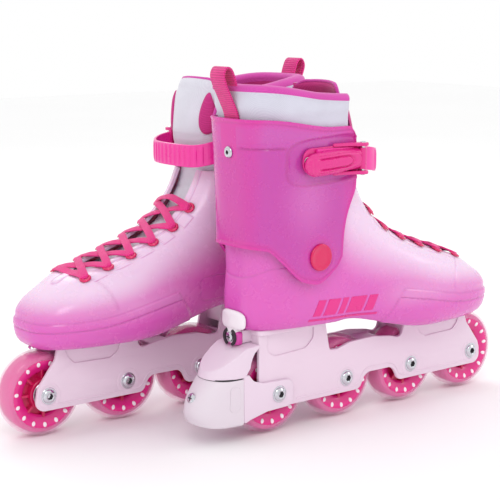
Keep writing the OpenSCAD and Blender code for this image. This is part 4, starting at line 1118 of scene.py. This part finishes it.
def fasteners(side):
    shape = Shape()
    for k in range(1, WHEELS + 1):
        x = axle_x(k)
        half = RAIL_OUT + 0.1 + (BRAKE_ARM_T + 0.3 if side == "right" and k == 1 else 0)
        rod(shape, (x, -half, AXLE_Z), (x, half, AXLE_Z), 3.95)
        for s in (-1, 1):
            bolt_head(shape, (x, s*half, AXLE_Z), (0, s, 0))
            shape.lathe([(7.4, 0.0), (7.4, 0.35), (7.1, 0.6), (6.0, 0.6), (6.0, 0.0)], (x, s*(half - 0.1),
                                                                                        AXLE_Z), (0, s, 0),
                                                                                        48)
    put(shape.build(f"{side}_axle_hardware", side, ["steel", "dark"], sharp=30), f"{side}_boot",
        "bolt_steel", f"{side}_axle_bolts")
    shape = Shape()
    for x, top in zip((-84, 80), TOWER_TOPS):
        rod(shape, (x, 0, top - 7), (x, 0, top + 3.5), 3.9)
        bolt_head(shape, (x, 0, top - 6.2), (0, 0, -1), 6.4, 2.6)
    screw_x, screw_z = HEEL_SCREW
    rod(shape, (screw_x, 0, screw_z), (-144.5, 0, screw_z), 2.4)
    cross_head(shape, (screw_x, 0, screw_z), (-1, 0, 0.05), 4.4, 1.9)
    if side == "right":
        rod(shape, (-197, 0, BRAKE_SCREW_Z), (-188, 0, BRAKE_SCREW_Z), 2.35)
        cross_head(shape, (-197.4, 0, BRAKE_SCREW_Z), (-1, 0, 0.35), 4.7, 1.8)
    put(shape.build(f"{side}_mounting_screws", side, ["steel", "dark"], sharp=30), f"{side}_boot",
        "bolt_steel", f"{side}_frame_screws")
    shape = Shape()
    out_y = float(lookup(PIVOT[1], CUFF_HALF)) + 0.25
    for s in (-1, 1):
        at = (PIVOT[0], s*out_y, PIVOT[1])
        shape.lathe([(11.3, -0.1), (11.6, 0.4), (11.5, 1.3), (11.0, 1.9), (10.2, 2.2), (9.5, 2.0),
                     (9.0, 1.75), (5, 1.95), (0.01, 2.05)], at, (0, s, 0), 72)
        rod(shape, (PIVOT[0], s*37.4, PIVOT[1]), (PIVOT[0], s*out_y, PIVOT[1]), 4.9)
        shape.lathe([(0.01, 0), (7.9, 0), (7.9, 0.9), (0.01, 0.9)], (PIVOT[0], s*37.1, PIVOT[1]), (0, s, 0),
                    40)
    put(shape.build(f"{side}_pivot_discs", side, ["rivet"], sharp=40), f"{side}_boot", "rivet_plastic",
        f"{side}_pivot_rivets")
    shape = Shape()
    rod(shape, (-82, 42.6, 240), (-82, 48.2, 240), 2.3)
    cross_head(shape, (-82, 48.2, 240), (0, 1, 0), 5, 1.6)
    rod(shape, (-112, -42.6, 240), (-112, -47.4, 240), 2.3)
    cross_head(shape, (-112, -47.3, 240), (0, -1, 0), 4, 0.9)
    back = float(lookup(PULL_SCREW_Z, CUFF_BACK))
    rod(shape, (back + 2.6, 0, PULL_SCREW_Z), (back - 0.4, 0, PULL_SCREW_Z), 2.3)
    bolt_head(shape, (back - 0.5, 0, PULL_SCREW_Z), (-1, 0, -0.05), 5, 1.8, 1.7)
    put(shape.build(f"{side}_cuff_hardware", side, ["steel", "dark"], sharp=30), f"{side}_cuff",
        "bolt_steel", f"{side}_cuff_screws")


# ------------------------------------------------------------------ chassis
def wall_outline():
    """Side view of a wall as corners with their radii, counter-clockwise from the heel."""
    rear_top, front_top = TOWER_TOPS
    return rounded([(-140, rear_top, 2), (-140, 50, 10), (-134, 25, 13), (-24, 25, 7), (-17, 39, 10),
                    (17, 39, 10), (24, 25, 7), (134, 25, 13), (130, 46, 8), (113, 68, 10),
                    (110, front_top, 2), (31, front_top, 3), (27, 65, 6), (14, 68.5, 20), (-8, 71.5, 40),
                    (-36, 70.5, 30), (-60, 64, 6), (-66, rear_top, 3)], 6)


def chassis(side):
    shape = Shape()
    pockets = [
        rounded([(-131, 93.2, 1.5), (-131, 76, 9), (-122, 71, 6), (-88, 73, 9), (-79, 81, 7),
                 (-79, 93.2, 1.5)]),
        rounded([(46, 77.4, 2), (50, 67, 6), (58, 62, 5), (94, 63, 7), (100, 69, 6), (104, 77.4, 2)]),
    ]
    for s in (-1, 1):
        inner, step, outer = s*RAIL_IN, s*(RAIL_IN + 1.7), s*RAIL_OUT
        shape.plate([wall_outline()], *sorted([inner, step]), 0.3)
        shape.plate([wall_outline(), *pockets], *sorted([step, outer]), 0.6)
        for k in range(1, WHEELS + 1):
            x = axle_x(k)
            boss = [(0.01, -4.6), (6.3, -4.6), (6.4, -4.2), (6.4, 0.0)]
            shape.lathe(boss, (x, s*RAIL_IN, AXLE_Z), (0, s, 0), 40)
            if not (side == "right" and k == 1):
                shape.lathe([(11.6, -0.2), (11.4, 0.15), (11.0, 0.25), (9.2, 0.25), (8.8, 0.1), (8.6, -0.2)],
                            (x, s*RAIL_OUT, AXLE_Z), (0, s, 0), 56)
        # raised rim along the lower edge, up over the arch between the pairs
        rim = np.array(rounded([(-120, 29.5, 0), (-26, 29.5, 9), (-18.5, 43.2, 11), (18.5, 43.2, 11),
                                (26, 29.5, 9), (122, 29.5, 0), (122, 20, 0), (-120, 20, 0)], 6))
        rim = even(rim[rim[:, 1] > 25], 120)
        path = np.insert(rim, 1, s*(RAIL_OUT + 0.05), axis=1)
        if side == "right":
            path = path[path[:, 0] > -100]
        shape.sweep(path, rounded([(-0.9, -0.5, 0.3), (0.9, -0.5, 0.3), (0.6, 0.5, 0.3), (-0.6, 0.5, 0.3)],
                                  2), [0, s, 0])
    # deck with its two openings over the wheels, then the top plates of the towers
    shape.plate([box(-72, -17.6, 32, 17.6, 1), box(-68.5, -13, -11.5, 13, 5),
                 rounded([(11.5, -13, 4), (31, -13, 1), (31, 13, 1), (11.5, 13, 4)])], 63, 66.5, 0.6, "xy")
    shape.plate([rounded([(-141, -21, 5), (-68.5, -21, 4), (-68.5, 21, 4), (-141, 21, 5)])], 91, 95.8, 1.0,
                "xy")
    shape.plate([rounded([(29.5, -21, 4), (111, -21, 6), (111, 21, 6), (29.5, 21, 4)])], 77.3, 79.8, 0.8,
                "xy")
    for x, low, high in ((-138.5, 76.5, 91.5), (-71.5, 74, 91.5), (32.5, 66, 78), (108.5, 76.6, 78)):
        shape.plate([box(x - 1.4, -15.5, x + 1.4, 15.5, 0.4)], low, high, 0.3, "xy")
    # upright tab behind the heel, its lug and two dark arcs beside the screw, in the painted-shade material
    v = np.linspace(0, 2*np.pi, 48, endpoint=False)
    rings = []
    for q, out in ((0.01, 3.5), (0.6, 3.5), (0.86, 3.2), (0.95, 2.6), (1.0, 1.6), (1.0, 0.8), (0.95, 0.1),
                   (0.01, 0.0)):
        y = q*15.5*power(np.cos(v), 0.55)
        z = 105.2 + q*8.2*power(np.sin(v), 0.6) - 0.004*y**2
        rings.append(np.stack([-154.2 + 0.012*y**2 - out, y, z], -1))
    shape.grid(np.array(rings), wrap=True, mat=1)
    shape.plate([rounded([(-156.8, -9, 4), (-149, -9, 3), (-149, 9, 3), (-156.8, 9, 4)])], 83.2, 95, 2.4,
                "xy", mat=3)
    shape.plate([box(-150, -7.5, -138.5, 7.5, 1)], 84.5, 95.5, 1, "xy")
    shape.plate([rounded([(-157, -6.5, 3), (-150, -6.5, 1), (-150, 6.5, 1), (-157, 6.5, 3)])], 84.4, 99.5,
                1.6, "xy", mat=1)
    for s in (-1, 1):
        arc = np.linspace(math.radians(-62), math.radians(62), 20)
        clip = np.stack([np.full(len(arc), -157.4), s*7.2*np.cos(arc), HEEL_SCREW[1] + 6.8*np.sin(arc)], -1)
        shape.sweep(clip, box(-1.3, -1.0, 1.3, 1.0, 0.4, 2), [-1, 0, 0], mat=2)
    obj = shape.build(f"{side}_side_rails", side, ["frame", "white", "dark", "lug"], weld=0.01,
                      sharp=32)
    put(obj, f"{side}_boot", "frame_plastic", f"{side}_frame")


def block(shape, low, high, front, rear, half, plan, mat=0, rows=14):
    """Solid between two height curves with a blunt, rounded rear; plan holds the two powers of its curve."""
    u = np.sin(np.linspace(0, np.pi/2, 30))
    y = half*(1 - u**plan[0])**(1/plan[1])
    u = np.concatenate([u, u[-2::-1]])
    y = np.concatenate([y, -y[-2::-1]])
    turn = np.linspace(0, np.pi/2, 6)
    end = [(1 - 0.07*(1 - math.sin(a)), 0.05*(1 - math.cos(a))) for a in turn]
    bottom = [(0.02, 0.0), (0.5, 0.0), *end]
    sides = [(1.0, v) for v in np.linspace(0.1, 0.9, rows)]
    grid = []
    for shrink, t in bottom + sides + [(k, 1 - v) for k, v in bottom[::-1]]:
        x = mix(front(t), rear(t), u)
        centre = mix(front(t), rear(t), 0.5)
        x = centre + (x - centre)*(shrink if shrink < 0.9 else 1 - (1 - shrink)*0.6)
        grid.append(np.stack([x, y*shrink, mix(low(x), high(x), t)], -1))
    shape.grid(np.array(grid), wrap=True, mat=mat, caps=True)


def brake():
    side = "right"
    shape = Shape()
    # the housing stands on the seam and clears the rear wheel
    arch = lambda x: AXLE_Z + np.sqrt(np.maximum(0, BRAKE_CLEAR_R**2 - (x - axle_x(1))**2))
    low = lambda x: np.maximum(BRAKE_SEAM + 0.2, arch(x))
    high = lambda x: lookup(x, ((-190, 60), (-184, 64.5), (-166, 76.2), (-152, 83.6), (-141, 84.4)))
    front = lambda t: lookup(mix(58.6, 84.4, t), ((58.6, -151.8), (64, -150.8), (73, -147.2), (79, -142.6),
                                                  (84.4, -141.4)))
    rear = lambda t: mix(-186.0, -184.0, t)
    block(shape, low, high, front, rear, BRAKE_Y + 3.05, BRAKE_PLAN)
    arm = rounded([(-104.2, 25.6, 7.5), (-104.2, 49.4, 7.5), (-136, 50.2, 4), (-147, 53.4, 9),
                   (-152.4, 60, 1), (-158.2, 60, 1), (-157.9, 17.6, 2), (-151, 20.5, 4), (-133, 24.6, 16)])
    for s in (-1, 1):
        shape.plate([arm], *sorted([s*BRAKE_Y, s*(BRAKE_Y + BRAKE_ARM_T)]), 0.8)
    obj = shape.build("right_brake_housing", side, ["brake"], weld=0.01, sharp=40)
    put(obj, "right_boot", "brake_plastic", "right_brake_arm")
    shape = Shape()
    low = lambda x: lookup(x, ((-203, 25.5), (-196, 20.4), (-184, 18.2), (-170, 17.4), (-158, 17.2)))
    rear = lambda t: lookup(t, ((0, -197.5), (0.2, -201.5), (0.5, -199.5), (0.78, -193), (1, -186)))
    block(shape, low, constant(BRAKE_SEAM - 0.3), constant(-158.4), rear, BRAKE_Y + 2.9, (3.4, 2.2))
    for s in (-1, 1):
        inner = rounded([(-161.5, 52.5, 4), (-172, 52.5, 4), (-173, 31, 4), (-161.5, 29, 4)])
        lip = rounded([(-162.4, 51.6, 3.2), (-171.1, 51.6, 3.2), (-172.1, 31.9, 3.2), (-162.4, 29.9, 3.2)])
        shape.plate([inner, lip], *sorted([s*20.7, s*21.4]), 0.2)
    # painted shade in the seam between housing and pad: a dark block in the gap
    block(shape, constant(BRAKE_SEAM - 0.8), constant(BRAKE_SEAM + 1), constant(-159.2), constant(-185.2),
          BRAKE_Y + 2.3, BRAKE_PLAN, mat=1, rows=2)
    obj = shape.build("right_brake_block", side, ["pad", "dark"], weld=0.01, sharp=40)
    put(obj, "right_boot", "brake_rubber", "right_brake_pad")


# ------------------------------------------------------------------ wheels
def wheel(side, k):
    at = np.array([axle_x(k), 0, AXLE_Z])
    body = f"{side}_wheel_{k}"
    axis = (0, 1, 0)
    shape = Shape()
    a = np.linspace(-np.pi/2, np.pi/2, 33)
    tread = [(CORE_R + 0.6 + 7.35*math.cos(v)**0.85, 11.6*math.sin(v)) for v in a[1:-1]]
    profile = [(CORE_R - 0.2, -10.7), (CORE_R + 0.3, -11.4), *tread, (CORE_R + 0.3, 11.4),
               (CORE_R - 0.2, 10.7), (33.3, 9.4), (34.6, 7.2), (34.6, -7.2), (33.3, -9.4)]
    shape.lathe(profile, at, axis, 96, closed=True)
    put(shape.build(f"{body}_urethane", side, ["tyre"], sharp=50), body, "wheel_tyre", f"{body}_tyre")
    shape = Shape()
    ring = [(19, -6.2), (19.8, -7.2), (21.5, -8.0), (25.5, -10.2), (28.8, -10.9), (29.7, -10.6), (33.1, -9.3),
            (34.3, -7.0)]
    shape.lathe(mirrored(ring), at, axis, 96, closed=True)
    sleeve = [(11.15, -10.9), (13.2, -10.9), (13.7, -10.4), (13.9, -4), (20.4, -3.4)]
    shape.lathe(mirrored(sleeve), at, axis, 72, mat=1, closed=True)
    for n in range(8):
        turn = 2*math.pi*n/8
        d = np.array([math.cos(turn), 0, math.sin(turn)])
        for s in (-1, 1):
            path = at + np.linspace(13.2, 20.8, 6)[:, None]*d + [0, s*5.6, 0]
            shape.sweep(path, rounded([(-1.7, -2.6, 0.5), (1.7, -2.6, 0.5), (1.3, 2.6, 0.8),
                                       (-1.3, 2.6, 0.8)], 3),
                        [0, s, 0], mat=1)
    spots = 15
    for n in range(spots):
        turn = 2*math.pi*(n + 0.3)/spots
        d = np.array([math.cos(turn), 0, math.sin(turn)])
        e = np.array([-d[2], 0, d[0]])
        for s in (-1, 1):
            rows = []
            for q, h in ((1.0, -0.35), (1.0, 0.1), (0.9, 0.32), (0.6, 0.42), (0.02, 0.45)):
                v = np.linspace(0, 2*np.pi, 18, endpoint=False)[:, None]
                out = 27.0 + q*2.2*np.sin(v)
                face = lookup(out, ((21.5, 8.0), (25.5, 10.2), (28.8, 10.9), (30, 10.6)))
                rows.append(at + d*out + e*q*1.65*np.cos(v) + s*(face + h)*np.array([0, 1, 0]))
            shape.grid(np.array(rows), wrap=True, mat=2)
    put(shape.build(f"{body}_core", side, ["hub", "spokes", "spots"], sharp=35), body, "wheel_hub",
        f"{body}_hub")
    shape = Shape()
    for s in (-1, 1):
        shape.lathe([(11, 4.2), (11, 10.9), (10.7, 11.2), (9.6, 11.2), (9.3, 10.8), (6.6, 10.8),
                     (6.3, 11.2), (5.2, 11.2), (4.1, 11.0), (4.1, 4.2)], at, (0, s, 0), 64, closed=True)
    shape.lathe([(4.2, -4.1), (5.5, -4.1), (5.5, 4.1), (4.2, 4.1)], at, axis, 40, closed=True)
    put(shape.build(f"{body}_races", side, ["race"], sharp=30), body, "bearing_steel", f"{body}_bearings")


# ------------------------------------------------------------------ camera, light and floor
CAMERA_AT = (-0.7394, -0.9421, 0.3651)
CAMERA_AIM = (-0.018, -0.0073, 0.1512)
CAMERA_LENS = 96.6
# name, place, side of the lamp and power
LIGHTS = (("key", (-1.0, -1.1, 1.5), 0.7, 6), ("fill", (1.3, -1.0, 0.9), 0.5, 2),
          ("back", (0.3, 1.4, 1.3), 0.8, 4))
LIGHTS_AIM = (0, 0, 0.12)
FLOOR_HALF = 4


def studio():
    camera = bpy.data.objects.new("camera", bpy.data.cameras.new("camera"))
    bpy.context.scene.collection.objects.link(camera)
    camera.location = CAMERA_AT
    camera.rotation_euler = (Vector(CAMERA_AIM) - Vector(CAMERA_AT)).to_track_quat("-Z", "Y").to_euler()
    camera.data.lens = CAMERA_LENS
    bpy.context.scene.camera = camera
    bpy.context.scene.view_settings.view_transform = "Standard"
    world = bpy.data.worlds.new("studio")
    world.use_nodes = True
    world.node_tree.nodes["Background"].inputs["Color"].default_value = (1, 1, 1, 1)
    world.node_tree.nodes["Background"].inputs["Strength"].default_value = 1.0
    bpy.context.scene.world = world
    for name, spot, size, energy in LIGHTS:
        light = bpy.data.objects.new(name, bpy.data.lights.new(name, "AREA"))
        bpy.context.scene.collection.objects.link(light)
        light.data.size = size
        light.data.energy = energy
        light.location = spot
        light.rotation_euler = (Vector(LIGHTS_AIM) - Vector(spot)).to_track_quat("-Z", "Y").to_euler()
    mesh = bpy.data.meshes.new("floor")
    corners = ((-1, -1), (1, -1), (1, 1), (-1, 1))
    mesh.from_pydata([(x*FLOOR_HALF, y*FLOOR_HALF, 0) for x, y in corners], [], [(0, 1, 2, 3)])
    floor = bpy.data.objects.new("floor", mesh)
    bpy.context.scene.collection.objects.link(floor)
    look = Look("floor", Roughness=0.9)
    look.paint(colour(252, 252, 252), 0.005, 2)
    mesh.materials.append(look.material)


studio()
for side in SIDES:
    shell(side)
    side_marks(side)
    eyelets(side)
    laces(side)
    foot_pad(side)
    footbed(side)
    tongue(side)
    ankle_pad(side)
    cuff(side)
    strap(side)
    buckle_base(side)
    lever(side)
    pull_loop(side)
    fasteners(side)
    chassis(side)
    for k in range(1, WHEELS + 1):
        wheel(side, k)
brake()
